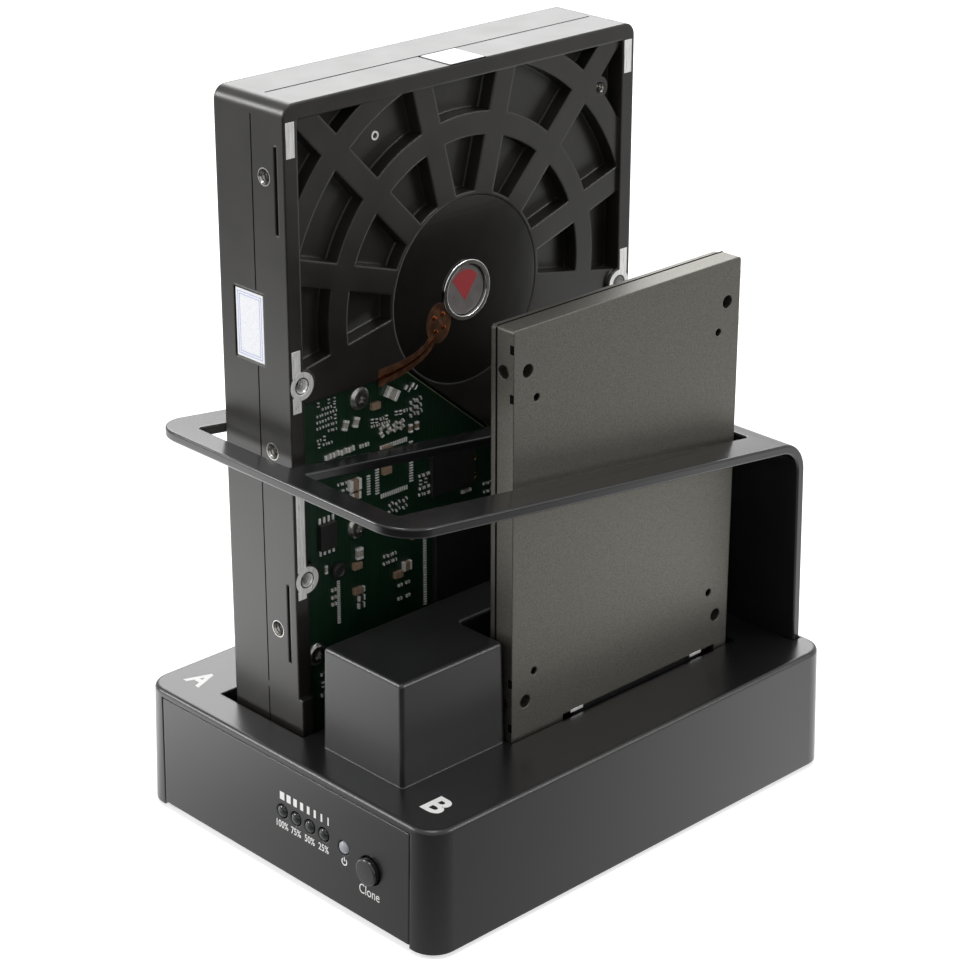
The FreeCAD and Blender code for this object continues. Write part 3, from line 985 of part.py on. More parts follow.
def make_ssd():
    """Tray with mounting holes, a cap on the other side, a board, memory chips and the connector."""
    y0, z0 = at_ssd("0", "0")
    y1, z1 = at_ssd("ssd_wide", "ssd_long")
    back_x = "(bay_b_face - ssd_thick)"
    seam_x = "(bay_b_face - ssd_seam)"
    tray = body("ssd_tray", seam_x)
    profile = sketch(tray, "YZ_Plane")
    rectangle(profile, y0, y1, z0, z1)
    pad(tray, profile, "ssd_seam")
    middle = value(z0) + 1
    round_edges(tray, "ssd_round", lambda edge: runs_along(edge, "x") and edge.BoundBox.ZMin > middle)
    hollow = box("ssd_hollow", f"{seam_x} - 1", "bay_b_face - ssd_skin", f"{y0} + ssd_skin",
                 f"{y1} - ssd_skin", f"{z0} + ssd_skin", f"{z1} - ssd_skin")
    mouth = box("ssd_mouth", f"{seam_x} - 1", "bay_b_face - ssd_skin", "plug_y - socket_wide / 2",
                "plug_y + socket_wide / 2", f"{z0} - 1", f"{z0} + 2 * ssd_skin")
    notch = box("ssd_notch", "bay_b_face - ssd_skin - 1", "bay_b_face + 1", "plug_y - socket_wide / 2",
                "plug_y + socket_wide / 2", f"{z0} - 1", f"{z0} + drive_sink + 0.9")
    holes = []
    for number, along in enumerate(("ssd_hole_low", "ssd_hole_top")):
        for side, across in enumerate(("ssd_hole_in", "ssd_wide - ssd_hole_in")):
            y, z = at_ssd(across, along)
            holes.append(rod(f"ssd_hole_{number}_{side}", "x", "bay_b_face - 3", y, z, "thread_radius - 0.1",
                             "4"))
        z = at_ssd("0", along)[1]
        holes.append(rod(f"ssd_side_front_{number}", "y", "bay_b_face - ssd_side_hole", f"{y0} - 1", z,
                         "thread_radius - 0.1", "3.4"))
        holes.append(rod(f"ssd_side_rear_{number}", "y", "bay_b_face - ssd_side_hole", f"{y1} - 2.4", z,
                         "thread_radius - 0.1", "3.4"))
    for number, (across, along) in enumerate((("6.7", "ssd_hole_low + 6.5"), ("6.7", "ssd_hole_top - 6.5"),
                                              ("ssd_wide - 6.7", "ssd_hole_low + 6.5"),
                                              ("ssd_wide - 6.7", "ssd_hole_top - 6.5"))):
        y, z = at_ssd(across, along)
        holes.append(rod(f"ssd_small_hole_{number}", "x", "bay_b_face - 2", y, z, "0.9", "3"))
    bosses = []
    for number, along in enumerate(("ssd_hole_low", "ssd_hole_top")):
        low = at_ssd("0", f"{along} - 3.4")[1]
        high = at_ssd("0", f"{along} + 3.4")[1]
        for side, (left, right) in enumerate(((f"{y0} + 0.4", f"{y0} + 7"), (f"{y1} - 7", f"{y1} - 0.4"))):
            bosses.append(box(f"ssd_boss_{number}_{side}", seam_x, "bay_b_face - 0.4", left, right, low, high))
    shell = fuse("ssd_shell", cut("ssd_shell_cut", tray, hollow, mouth), *bosses)
    node("ssd_case", cut("ssd_case_cut", shell, notch, *holes))
    lid = body("ssd_lid", back_x)
    lid_profile = sketch(lid, "YZ_Plane")
    rectangle(lid_profile, f"{y0} + 0.3", f"{y1} - 0.3", f"{z0} + 0.3", f"{z1} - 0.3")
    pad(lid, lid_profile, "ssd_thick - ssd_seam")
    round_edges(lid, "ssd_round", lambda edge: runs_along(edge, "x") and edge.BoundBox.ZMin > middle)
    scoop = box("ssd_lid_scoop", f"{back_x} + ssd_skin", f"{seam_x} + 1", f"{y0} + ssd_skin + 0.6",
                f"{y1} - ssd_skin - 0.6", f"{z0} - 1", f"{z1} - ssd_skin - 0.6")
    node("ssd_cover", cut("ssd_cover_cut", lid, scoop))
    board_x = "(bay_b_face - ssd_thick / 2)"
    inner_y0 = f"({y0} + ssd_skin + plug_gap)"
    inner_y1 = f"({y1} - ssd_skin - plug_gap)"
    board = box("ssd_board_block", f"{board_x} - 0.5", f"{board_x} + 0.5", f"{y0} + 7.3", f"{y1} - 7.3",
                f"{DRIVE_BOTTOM} + key_tall + 3", f"{z0} + 62")
    node("ssd_board", board)
    chips = [box(f"ssd_chip_{number}", f"{board_x} + 0.5", f"{board_x} + 1.6", f"{y0} + {across}",
                 f"{y0} + {across} + {wide}", f"{z0} + {along}", f"{z0} + {along} + {tall}")
             for number, (across, along, wide, tall) in enumerate(((12, 40, 12, 18), (30, 40, 12, 18),
                                                                   (46, 40, 12, 18), (30, 18, 12, 12)))]
    node("ssd_chips", group("ssd_chip_set", *chips))
    make_plug("ssd_connector", board_x, f"{board_x} - key_deep / 2 - plug_gap - 0.1",
              f"{board_x} + key_deep / 2 + plug_gap + 0.1")


# ---- build, check and write ----

def check():
    """Stop if any object failed or any piece has no sound solid."""
    doc.recompute()
    failed = [item.Name for item in doc.Objects if {"Invalid", "Error"} & set(item.State)]
    if failed:
        raise ValueError(f"these objects failed: {failed}")
    for piece in nodes:
        shape = piece.Shape
        if shape.isNull() or not shape.isValid() or not shape.Solids:
            raise ValueError(f"{piece.Label}: its shape is empty or unsound")


def write():
    os.makedirs("parts", exist_ok=True)
    for piece in nodes:
        piece.Shape.exportStep(f"parts/{piece.Label}.step")
        bounds = piece.Shape.BoundBox
        print(f"{piece.Label:20s} solids {len(piece.Shape.Solids):3d}  x {bounds.XMin:7.2f} {bounds.XMax:7.2f}"
              f"  y {bounds.YMin:7.2f} {bounds.YMax:7.2f}  z {bounds.ZMin:7.2f} {bounds.ZMax:7.2f}")


make_top_shell()
make_front_panel()
make_bottom_plate()
make_feet()
make_dock_screws()
make_guide_frame()
make_main_board()
make_socket("socket_a", "(bay_a_face - plug_back)")
make_socket("socket_b", "(bay_b_face - ssd_thick / 2)")
make_board_parts()
make_lights()
make_button()
make_rear_connectors()
make_hdd_casting()
make_hdd_cover()
make_hdd_board()
make_hdd_board_parts()
make_plug("hdd_connector", "(bay_a_face - plug_back)", "(bay_a_face - plug_back - socket_deep / 2)",
          "(bay_a_face - plug_back + socket_deep / 2 - 0.2)")
make_hdd_face()
make_platters()
make_arm()
make_ssd()
check()
write()
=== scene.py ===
"""Looks of an upright two-bay drive duplicator, laid out as an add-on and run as a script."""
import math
import random

import bmesh
import bpy
from mathutils import Matrix, Vector


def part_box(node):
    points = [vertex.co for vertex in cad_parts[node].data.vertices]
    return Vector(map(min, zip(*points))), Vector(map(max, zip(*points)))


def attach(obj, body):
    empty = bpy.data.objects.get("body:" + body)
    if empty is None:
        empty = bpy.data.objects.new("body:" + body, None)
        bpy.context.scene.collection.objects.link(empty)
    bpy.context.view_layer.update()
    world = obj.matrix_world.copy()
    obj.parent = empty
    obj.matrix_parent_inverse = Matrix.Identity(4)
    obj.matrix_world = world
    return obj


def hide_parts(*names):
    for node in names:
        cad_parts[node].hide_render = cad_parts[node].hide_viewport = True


bl_info = {
    "name": "Drive Duplicator Dresser",
    "version": (1, 0, 0),
    "blender": (4, 5, 0),
    "location": "3D View > Sidebar > Duplicator",
    "description": "Finishes, prints and small parts for an upright two-bay drive duplicator",
    "category": "Object",
}

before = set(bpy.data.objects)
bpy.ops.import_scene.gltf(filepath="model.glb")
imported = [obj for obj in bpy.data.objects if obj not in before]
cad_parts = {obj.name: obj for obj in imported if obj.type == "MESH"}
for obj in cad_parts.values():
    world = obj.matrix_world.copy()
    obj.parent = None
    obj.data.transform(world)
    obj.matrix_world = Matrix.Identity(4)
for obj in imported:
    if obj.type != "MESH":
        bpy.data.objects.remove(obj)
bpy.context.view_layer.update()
MM = 0.001
X, Y, Z = range(3)


def side_of(node, axis, high):
    """One side of a node's box along an axis, in millimetres."""
    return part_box(node)[1 if high else 0][axis] / MM


def middle_of(node, axis):
    """The middle of a node's box along an axis, in millimetres."""
    return (side_of(node, axis, False) + side_of(node, axis, True)) / 2


def box_of(node):
    """The lowest and highest corner of a node's box, in millimetres."""
    return [Vector(corner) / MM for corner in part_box(node)]


BASE_FRONT, BASE_FOOT = side_of("top_shell", Y, False), side_of("top_shell", Z, False)
# The guide frame's screws end 1 mm under the deck.
DECK = side_of("frame_screws", Z, True) + 1.0
BOARD_FACE = side_of("hdd_board", X, True)
# The large casting's open face stands 2.6 mm in front of its board.
DRIVE_FACE = BOARD_FACE + 2.6
DRIVE_FRONT, DRIVE_REAR = side_of("hdd_casting", Y, False), side_of("hdd_casting", Y, True)
DRIVE_FOOT, DRIVE_TOP = side_of("hdd_casting", Z, False), side_of("hdd_casting", Z, True)


def at_drive(across, along):
    """Y and Z in millimetres of a place on the large drive, from its front edge and its foot."""
    return DRIVE_FRONT + across, DRIVE_FOOT + along


# ---- sizes and colours that a user would change ----

def linear(code):
    """Linear RGBA of an sRGB hex value."""
    parts = [int(code[i:i + 2], 16) / 255 for i in (1, 3, 5)]
    return [p / 12.92 if p <= 0.04045 else ((p + 0.055) / 1.055) ** 2.4 for p in parts] + [1.0]


def number(name, description, default, **more):
    """A number, with its unit or subtype where it has one."""
    return bpy.props.FloatProperty(name=name, description=description, default=default, **more)


def length(name, description, default):
    """A length given in millimetres and kept in metres, as the scene is."""
    return number(name, description, default * MM, min=0.0, unit="LENGTH", precision=5)


def angle(name, description, default):
    """An angle given in degrees."""
    return number(name, description, math.radians(default), subtype="ANGLE")


def colour(name, description, code):
    """A colour given as an sRGB hex value."""
    return bpy.props.FloatVectorProperty(name=name, description=description, default=linear(code)[:3],
                                         subtype="COLOR", size=3, min=0.0, max=1.0)


class DuplicatorHousing(bpy.types.PropertyGroup):
    """Base, guide frame and what is printed on them."""
    plastic: colour("Housing plastic", "Colour of the moulded base", "#151516")
    frame_plastic: colour("Frame plastic", "Colour of the bent guide frame", "#171718")
    print_ink: colour("Print", "Colour of the letters and marks", "#e6e6e4")
    edge: length("Edge rounding", "Rounding of the housing's moulded edges", 0.3)
    frame_edge: length("Frame edge", "Rounding of the guide frame's edges", 0.55)
    letter_tall: length("Bay letter", "Height of the letters beside the bays", 6.3)
    bar_tall: length("Bar height", "Height of the progress bars", 1.9)
    percent_tall: length("Percent height", "Height of the figures under the lights", 1.75)
    word_tall: length("Word height", "Height of the word under the button", 2.3)


class DuplicatorDrives(bpy.types.PropertyGroup):
    """The two drives in the bays."""
    casting: colour("Casting coat", "Colour of the large drive's coated casting", "#1f1d1b")
    anodised: colour("Small drive", "Colour of the small drive's case", "#5f5d57")
    mask: colour("Board mask", "Colour of the large drive's circuit board", "#102a1b")
    rib_edge: length("Rib edge", "Rounding of the casting's ribs", 0.7)
    case_edge: length("Case edge", "Rounding of the small drive's case", 0.4)


class DuplicatorStage(bpy.types.PropertyGroup):
    """Floor, lamps and camera."""
    azimuth: angle("Azimuth", "Turn of the camera about the upright axis", 46.09)
    elevation: angle("Elevation", "Height of the camera above the horizon", 23.37)
    roll: angle("Roll", "Turn of the camera about its own line of sight", 0.11)
    away: length("Distance", "From the camera to the point it looks at", 600.1)
    lens: number("Lens", "Focal length", 99.98, subtype="DISTANCE_CAMERA")
    world_light: number("World light", "Strength of the even light", 0.55, min=0.0)
    floor: colour("Floor", "Colour of the floor", "#e9e9e9")


# ---- helpers for materials ----

def add(tree, kind, settings=None, inputs=None):
    """Adds a node with its settings; an input, by name or number, is a value or a socket to link from."""
    made = tree.nodes.new(kind)
    for name, value in (settings or {}).items():
        setattr(made, name, value)
    for name, value in (inputs or {}).items():
        if isinstance(value, bpy.types.NodeSocket):
            tree.links.new(value, made.inputs[name])
        else:
            made.inputs[name].default_value = value
    return made


def blank_material(name, **sockets):
    """A material with one Principled shader; keywords set its sockets, with _ for a space."""
    material = bpy.data.materials.new(name)
    material.use_nodes = True
    tree = material.node_tree
    shader = tree.nodes["Principled BSDF"]
    for key, value in sockets.items():
        shader.inputs[key.replace("_", " ")].default_value = value
    return material, tree, shader


def place_of(tree):
    """Object coordinates in millimetres, so that patterns have real sizes and move with their piece."""
    where = add(tree, "ShaderNodeTexCoord")
    return add(tree, "ShaderNodeVectorMath", {"operation": "SCALE"},
               {"Vector": where.outputs["Object"], "Scale": 1000.0}).outputs["Vector"]


def noise(tree, place, grain, detail=2.0):
    """Noise whose blobs are about grain millimetres wide."""
    return add(tree, "ShaderNodeTexNoise",
               inputs={"Vector": place, "Scale": 1.0 / grain, "Detail": detail}).outputs["Fac"]


def shade(base, factor=1.0):
    """Linear RGBA of a colour, given as hex or as linear channels, made darker or lighter."""
    channels = linear(base) if isinstance(base, str) else base
    return (*(min(1.0, factor * channel) for channel in channels[:3]), 1.0)


def shades(base, low, high, first=0.3, last=0.7):
    """Two stops of a ramp: one colour made darker and lighter."""
    return (first, shade(base, low)), (last, shade(base, high))


def tint(tree, shader, pattern, stops):
    """Colours a shader from a pattern through a ramp; each stop is a place and a colour."""
    made = add(tree, "ShaderNodeValToRGB", inputs={"Fac": pattern})
    while len(made.color_ramp.elements) < len(stops):
        made.color_ramp.elements.new(0.5)
    for element, (where, base) in zip(made.color_ramp.elements, stops):
        element.position = where
        element.color = shade(base)
    tree.links.new(made.outputs["Color"], shader.inputs["Base Color"])


def roughen(tree, shader, pattern, low, high):
    """Spreads a shader's roughness over a range by a pattern."""
    spread = add(tree, "ShaderNodeMapRange", inputs={"Value": pattern, "To Min": low, "To Max": high})
    tree.links.new(spread.outputs["Result"], shader.inputs["Roughness"])


def relief(tree, shader, pattern, strength, depth, rounding=0.0):
    """Bump of a depth in millimetres; a rounding in metres shades the edges as round underneath it."""
    made = add(tree, "ShaderNodeBump",
               inputs={"Height": pattern, "Strength": strength, "Distance": depth * MM})
    if rounding:
        edges = add(tree, "ShaderNodeBevel", {"samples": 6}, {"Radius": rounding})
        tree.links.new(edges.outputs["Normal"], made.inputs["Normal"])
    tree.links.new(made.outputs["Normal"], shader.inputs["Normal"])


# ---- materials, each named for what the real one is ----
# Moulds, blasting, brushing, mixing and printing leave grains of 0.02 to 0.1 mm. Those wouldn't show, so
# the patterns are drawn coarser than that. Flow marks, mottling and tracks have their real sizes.

def grained(name, grain, stops, rough=None, detail=2.0, depth=0.0, **sockets):
    """A solid whose colour, roughness and relief all follow one fine pattern of a grain in millimetres."""
    material, tree, shader = blank_material(name, **sockets)
    pattern = noise(tree, place_of(tree), grain, detail)
    tint(tree, shader, pattern, stops)
    if rough:
        roughen(tree, shader, pattern, *rough)
    if depth:
        relief(tree, shader, pattern, 0.3, depth)
    return material


def moulded_abs(name, base, grain, rough, depth, rounding=0.0):
    """ABS moulded in a spark-eroded tool: black, with a matt grain that softens the gloss."""
    material, tree, shader = blank_material(name, IOR=1.53)
    place = place_of(tree)
    fine = noise(tree, place, grain, 3.0)
    tint(tree, shader, noise(tree, place, 22.0), shades(base, 0.88, 1.15))
    roughen(tree, shader, fine, 0.85 * rough, 1.15 * rough)
    relief(tree, shader, fine, 0.35, depth, rounding)
    return material


def metal(name, dark, light, rough, grain, stretch=(1.0, 1.0, 1.0), depth=0.01, shine=1.0):
    """A metal surface; stretch draws its grain out along an axis, as brushing and rolling do."""
    material, tree, shader = blank_material(name, Metallic=shine)
    place = add(tree, "ShaderNodeVectorMath", {"operation": "MULTIPLY"}, {0: place_of(tree), 1: stretch})
    fine = noise(tree, place.outputs["Vector"], grain, 3.0)
    tint(tree, shader, fine, ((0.3, dark), (0.7, light)))
    roughen(tree, shader, fine, rough - 0.07, rough + 0.07)
    relief(tree, shader, fine, 0.25, depth)
    return material


def coated_casting(base, rounding):
    """Die-cast aluminium under a thin black electro-coat: satin, mottled, round at its edges."""
    material, tree, shader = blank_material("electro_coated_casting", IOR=1.5, Metallic=0.12)
    place = place_of(tree)
    skin, flow = noise(tree, place, 0.55, 4.0), noise(tree, place, 9.0, 3.0)
    tint(tree, shader, flow, shades(base, 0.82, 1.25, 0.32, 0.68))
    roughen(tree, shader, flow, 0.27, 0.38)
    relief(tree, shader, skin, 0.25, 0.02, rounding)
    return material


def blasted_anodised(base, rounding):
    """Bead-blasted aluminium, anodised dark grey: a fine bright speckle in a satin ground."""
    material, tree, shader = blank_material("blasted_anodised_aluminium", Metallic=0.9)
    place = place_of(tree)
    speck = add(tree, "ShaderNodeTexVoronoi", inputs={"Vector": place, "Scale": 4.2})
    fine = noise(tree, place, 0.35)
    mixed = add(tree, "ShaderNodeMix", {"data_type": "FLOAT"},
                {"Factor": 0.5, "A": speck.outputs["Distance"], "B": fine}).outputs["Result"]
    tint(tree, shader, mixed, shades(base, 0.75, 1.3, 0.25, 0.62))
    roughen(tree, shader, fine, 0.36, 0.54)
    relief(tree, shader, mixed, 0.35, 0.03, rounding)
    return material


def solder_mask(name, base):
    """Glass-epoxy board under solder mask: tracks lie under it as slightly lighter lines."""
    material, tree, shader = blank_material(name, IOR=1.5, Roughness=0.32)
    tracks = add(tree, "ShaderNodeTexBrick", {"offset": 0.37, "squash": 1.6},
                 {"Vector": place_of(tree), "Scale": 1.0, "Mortar Size": 0.16, "Brick Width": 5.3,
                  "Row Height": 1.1, "Color1": shade(base), "Color2": shade(base, 0.8),
                  "Mortar": shade(base, 1.3)})
    tree.links.new(tracks.outputs["Color"], shader.inputs["Base Color"])
    relief(tree, shader, tracks.outputs["Fac"], 0.3, 0.03)
    return material


def plain_plastic(name, code, rough, coat=0.0):
    """A small plastic moulding: an even colour with slight flow marks; a coat makes it polished."""
    return grained(name, 3.0, shades(code, 0.85, 1.1), (rough - 0.04, rough + 0.04), IOR=1.5,
                   Coat_Weight=coat, Coat_Roughness=0.05)


def ceramic(name, code):
    """Sintered ceramic of a chip part: matt and slightly cloudy."""
    return grained(name, 0.5, shades(code, 0.75, 1.2), (0.35, 0.55), IOR=1.7)


def lens_plastic(name, code, rough, through):
    """Cast acrylic of a light's lens: glossy, smoky or frosted, slightly cloudy."""
    return grained(name, 1.2, shades(code, 0.9, 1.1), (rough - 0.03, rough + 0.03), IOR=1.49,
                   Transmission_Weight=through)


def ink(name, base):
    """Screen-printed ink: opaque and even, with tiny pinholes in its gloss."""
    return grained(name, 0.2, shades(base, 0.92, 1.05), (0.4, 0.55), IOR=1.5)


MATERIALS = {}


def mix_materials(housing, drives):
    """Makes every material once, by the name that pieces ask for."""
    MATERIALS.update({
        # Housing: a matt grain on the base, a smoother satin on the frame, polish on the keys.
        "shell": moulded_abs("moulded_abs_fine_grain", housing.plastic, 0.45, 0.31, 0.035,
                             2 * housing.edge),
        "frame": moulded_abs("moulded_abs_satin", housing.frame_plastic, 1.1, 0.21, 0.003),
        "key": plain_plastic("polished_abs", "#151517", 0.16, 0.4),
        # Moulded rubber: dull black.
        "foot": grained("rubber_black", 0.6, ((0.3, "#18181a"), (0.7, "#242425")), (0.7, 0.9), IOR=1.5),
        # Steel: zinc plate is an even pale grey; rolled tinplate and stamped sheet keep fine long lines.
        "steel": metal("zinc_plated_steel", "#8d8c88", "#b9b8b4", 0.3, 0.5),
        "port": metal("tinned_steel", "#a9a9a8", "#cfcfcd", 0.28, 0.6, (1.0, 0.15, 1.0)),
        "cover": metal("stamped_steel", "#949391", "#a9a8a6", 0.36, 0.22, (1.0, 1.0, 0.05), depth=0.003),
        # Aluminium: a cutter leaves bright lines, a lathe a soft sheen, a drawn can is dull.
        "machined": metal("machined_aluminium", "#cfcfcc", "#eeeeeb", 0.3, 0.35, (1.0, 1.0, 0.1),
                          shine=0.55),
        "turned": metal("turned_aluminium", "#9a9a99", "#c4c4c2", 0.25, 0.4),
        "can": metal("aluminium_can", "#a9a8a4", "#d2d1cd", 0.3, 0.6),
        # Plated and coated metals: mirror chrome, silky tin and nickel, yellow gold, a flawless platter.
        "chrome": metal("bright_chromed_ring", "#cfcfd0", "#f2f2f2", 0.12, 1.0, depth=0.002),
        "tin": metal("solder_tin", "#dcdcd9", "#fbfbf8", 0.3, 0.5, shine=0.4),
        "gold": metal("gold_plated_pads", "#b98f3e", "#e2be6c", 0.25, 0.5),
        "nickel": metal("nickel_plate", "#a8a59d", "#cfccc4", 0.18, 1.5),
        "mirror": metal("sputtered_platter", "#c4c5c9", "#dcdde0", 0.05, 8.0, depth=0.0005),
        # Enamelled copper: reddish, in fine lines like the wires of a coil.
        "copper": metal("enamelled_copper", "#8a3f1c", "#c06a35", 0.3, 0.2, (1.0, 0.2, 1.0)),
        # The two drives' own skins.
        "casting": coated_casting(drives.casting, drives.rib_edge),
        "anodised": blasted_anodised(drives.anodised, drives.case_edge),
        # Painted motor dish: black, with a soft gloss. Its cap is a grey moulding.
        "motor": plain_plastic("black_motor_coat", "#0f0e0d", 0.24, 0.15),
        "cap": plain_plastic("grey_cap", "#6b6766", 0.35),
        # Boards: a dark green mask on the drive, a plainer green in the dock, a raw fibrous cut edge.
        "mask": solder_mask("drive_solder_mask", drives.mask),
        "main_mask": solder_mask("main_solder_mask", "#17432c"),
        "laminate": ceramic("laminate_edge", "#7d8868"),
        # Moulded epoxy of a chip: near black, matt, finely pitted.
        "epoxy": grained("epoxy_package", 0.25, ((0.3, "#131314"), (0.7, "#1f1e1e")), (0.42, 0.6),
                         depth=0.02, IOR=1.5),
        # Chip parts: tan or grey capacitors, dark resistors.
        "tan": ceramic("tan_ceramic", "#86705c"),
        "grey": ceramic("grey_ceramic", "#9a968e"),
        "dark": ceramic("dark_ceramic", "#2b2a29"),
        # Nylon sockets: black with glass fibre in it, or plain white.
        "socket": plain_plastic("glass_filled_nylon", "#1a1a1b", 0.42),
        "tongue": plain_plastic("white_nylon", "#e4e3de", 0.4),
        # Acrylic lenses: smoky ones look black while unlit, the frosted one is pale.
        "smoky": lens_plastic("smoky_acrylic", "#101714", 0.08, 0.0),
        "frosted": lens_plastic("frosted_acrylic", "#9fa0a8", 0.3, 0.1),
        # Polyimide film over copper: amber brown, glossy, a little see-through.
        "film": grained("polyimide_film", 1.6, ((0.3, "#2e1c12"), (0.55, "#4e3322"), (0.8, "#735034")),
                        IOR=1.7, Roughness=0.28, Alpha=0.82),
        # Coated label paper: white, with a faint fibre.
        "paper": grained("coated_label_paper", 0.4, ((0.3, "#dfe1e6"), (0.7, "#f1f2f4")), (0.4, 0.55),
                         detail=4.0, IOR=1.45),
        # Inks: white on the housing, pale blue lines on a label, red on the motor's cap.
        "ink": ink("white_screen_ink", housing.print_ink),
        "blue": ink("pale_blue_ink", "#aab3dd"),
        "red": ink("red_pad_print", "#9c3034"),
        # The inside of a narrow joint or slot: nearly no light comes back from it.
        "groove": grained("shadowed_gap", 0.5, ((0.3, "#040404"), (0.7, "#090909")), Roughness=0.9,
                          Specular_IOR_Level=0.05),
    })


def paint(finish, *nodes):
    """Gives CAD nodes a material."""
    for name in nodes:
        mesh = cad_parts[name].data
        mesh.materials.clear()
        mesh.materials.append(MATERIALS[finish])


# ---- edge rounding on the CAD nodes ----

# How far an edge bends: its faces are joined below the first, shaded smooth below the second and rounded
# above the third.
FLAT_BELOW, SMOOTH_BELOW, ROUND_ABOVE = (math.radians(bend) for bend in (0.6, 30.0, 32.0))


def geometry_group(name):
    """An empty group of geometry nodes, and the geometry that comes into it."""
    group = bpy.data.node_groups.new(name, "GeometryNodeTree")
    for way in ("INPUT", "OUTPUT"):
        group.interface.new_socket("Geometry", in_out=way, socket_type="NodeSocketGeometry")
    return group, add(group, "NodeGroupInput").outputs["Geometry"]


def join_faces():
    """Drops the stored normals and joins the corners of neighbouring faces."""
    group, start = geometry_group("join_faces")
    bare = add(group, "GeometryNodeRemoveAttribute", inputs={"Geometry": start, "Name": "custom_normal"})
    joined = add(group, "GeometryNodeMergeByDistance",
                 inputs={"Geometry": bare.outputs["Geometry"], "Distance": 0.002 * MM})
    add(group, "NodeGroupOutput", inputs={"Geometry": joined.outputs["Geometry"]})
    return group


def smooth_by_angle():
    """Shades smooth, apart from edges that bend by more than an angle."""
    group, start = geometry_group("smooth_by_angle")
    faces = add(group, "GeometryNodeSetShadeSmooth", {"domain": "FACE"},
                {"Geometry": start, "Shade Smooth": True})
    bend = add(group, "GeometryNodeInputMeshEdgeAngle")
    sharp = add(group, "FunctionNodeCompare", {"data_type": "FLOAT", "operation": "GREATER_THAN"},
                {"A": bend.outputs["Unsigned Angle"], "B": SMOOTH_BELOW})
    edges = add(group, "GeometryNodeSetShadeSmooth", {"domain": "EDGE"},
                {"Geometry": faces.outputs["Geometry"], "Selection": sharp.outputs["Result"],
                 "Shade Smooth": False})
    add(group, "NodeGroupOutput", inputs={"Geometry": edges.outputs["Geometry"]})
    return group


GROUPS = {}


def soften(width, *nodes, steps=2):
    """Rounds the sharp edges of CAD nodes by a width in metres and shades them smooth."""
    if not GROUPS:
        GROUPS.update(join_faces=join_faces(), smooth_shading=smooth_by_angle())
    for name in nodes:
        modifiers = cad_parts[name].modifiers
        modifiers.new("join_faces", "NODES").node_group = GROUPS["join_faces"]
        flat = modifiers.new("flat_faces", "DECIMATE")
        flat.decimate_type = "DISSOLVE"
        flat.angle_limit = FLAT_BELOW
        modifiers.new("smooth_shading", "NODES").node_group = GROUPS["smooth_shading"]
        rounding = modifiers.new("edge_rounding", "BEVEL")
        rounding.width = width
        rounding.segments = steps
        rounding.limit_method = "ANGLE"
        rounding.angle_limit = ROUND_ABOVE
        rounding.use_clamp_overlap = False
        rounding.miter_outer = "MITER_ARC"
        rounding.harden_normals = True


# ---- making pieces ----

def placed(name, data):
    """A new object, linked to the scene."""
    made = bpy.data.objects.new(name, data)
    bpy.context.scene.collection.objects.link(made)
    return made


def new_piece(name, shape, mesh, finish, body):
    """Turns a shape in millimetres into a piece with its finish that rides on a CAD body."""
    bmesh.ops.scale(shape, vec=(MM, MM, MM), verts=shape.verts)
    shape.to_mesh(mesh)
    shape.free()
    mesh.materials.clear()
    mesh.materials.append(MATERIALS[finish])
    piece = placed(name, mesh)
    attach(piece, body)
    return piece


def piece_from(name, build, finish, body, smooth=40.0):
    """A piece whose shape a function fills, shaded smooth over edges flatter than an angle in degrees."""
    shape = bmesh.new()
    build(shape)
    bmesh.ops.recalc_face_normals(shape, faces=shape.faces)
    for face in shape.faces:
        face.smooth = smooth > 0.0
    for edge in shape.edges:
        edge.smooth = len(edge.link_faces) == 2 and edge.calc_face_angle(0.0) < math.radians(smooth)
    return new_piece(name, shape, bpy.data.meshes.new(name), finish, body)


def block(shape, low, high, round_by=0.0, turn=0.0):
    """A box between two corners with rounded edges, turned about its own X axis."""
    low, high = Vector(low), Vector(high)
    made = bmesh.ops.create_cube(shape, size=1.0)["verts"]
    bmesh.ops.scale(shape, vec=high - low, verts=made)
    if round_by:
        edges = list({edge for vert in made for edge in vert.link_edges})
        made = bmesh.ops.bevel(shape, geom=edges, offset=round_by, segments=1, affect="EDGES")["verts"]
    bmesh.ops.rotate(shape, cent=(0, 0, 0), matrix=Matrix.Rotation(turn, 3, "X"), verts=made)
    bmesh.ops.translate(shape, vec=(low + high) / 2, verts=made)


def lathe(shape, profile, middle, axis="X", steps=40, ends="capped", oval=1.0, lobes=0.0, lobed_rings=()):
    """Rings about an axis, from pairs of a place along it and a radius; ends are capped, open or joined.

    oval stretches every ring along its second side, and lobes gives some of them a wave of six lobes.
    """
    along, across, up = {"X": (X, Y, Z), "Y": (Y, Z, X)}[axis]
    rings = []
    for number, (ahead, radius) in enumerate(profile):
        wave = lobes if number in lobed_rings else 0.0
        ring = []
        for step in range(steps):
            turn = 2 * math.pi * step / steps
            reach = radius * (1 + wave * math.cos(6 * turn))
            place = Vector(middle)
            place[along] += ahead
            place[across] += reach * math.cos(turn)
            place[up] += oval * reach * math.sin(turn)
            ring.append(shape.verts.new(place))
        rings.append(ring)
    if ends == "joined":
        rings.append(rings[0])
    for first, second in zip(rings, rings[1:]):
        for step in range(steps):
            after = (step + 1) % steps
            shape.faces.new((first[step], first[after], second[after], second[step]))
    if ends == "capped":
        shape.faces.new(rings[0])
        shape.faces.new(list(reversed(rings[-1])))


def thread(shape, middle, axis, inward, radius):
    """Bright crests of a screw thread down a hole, as a sawtooth tube; inward is 1 or -1 along the axis."""
    pitch, turns = 0.8, 4
    profile = []
    for turn in range(turns):
        start = inward * pitch * turn
        profile += [(start, radius), (start + inward * 0.5 * pitch, 0.86 * radius)]
    lathe(shape, profile, middle, axis, ends="open")


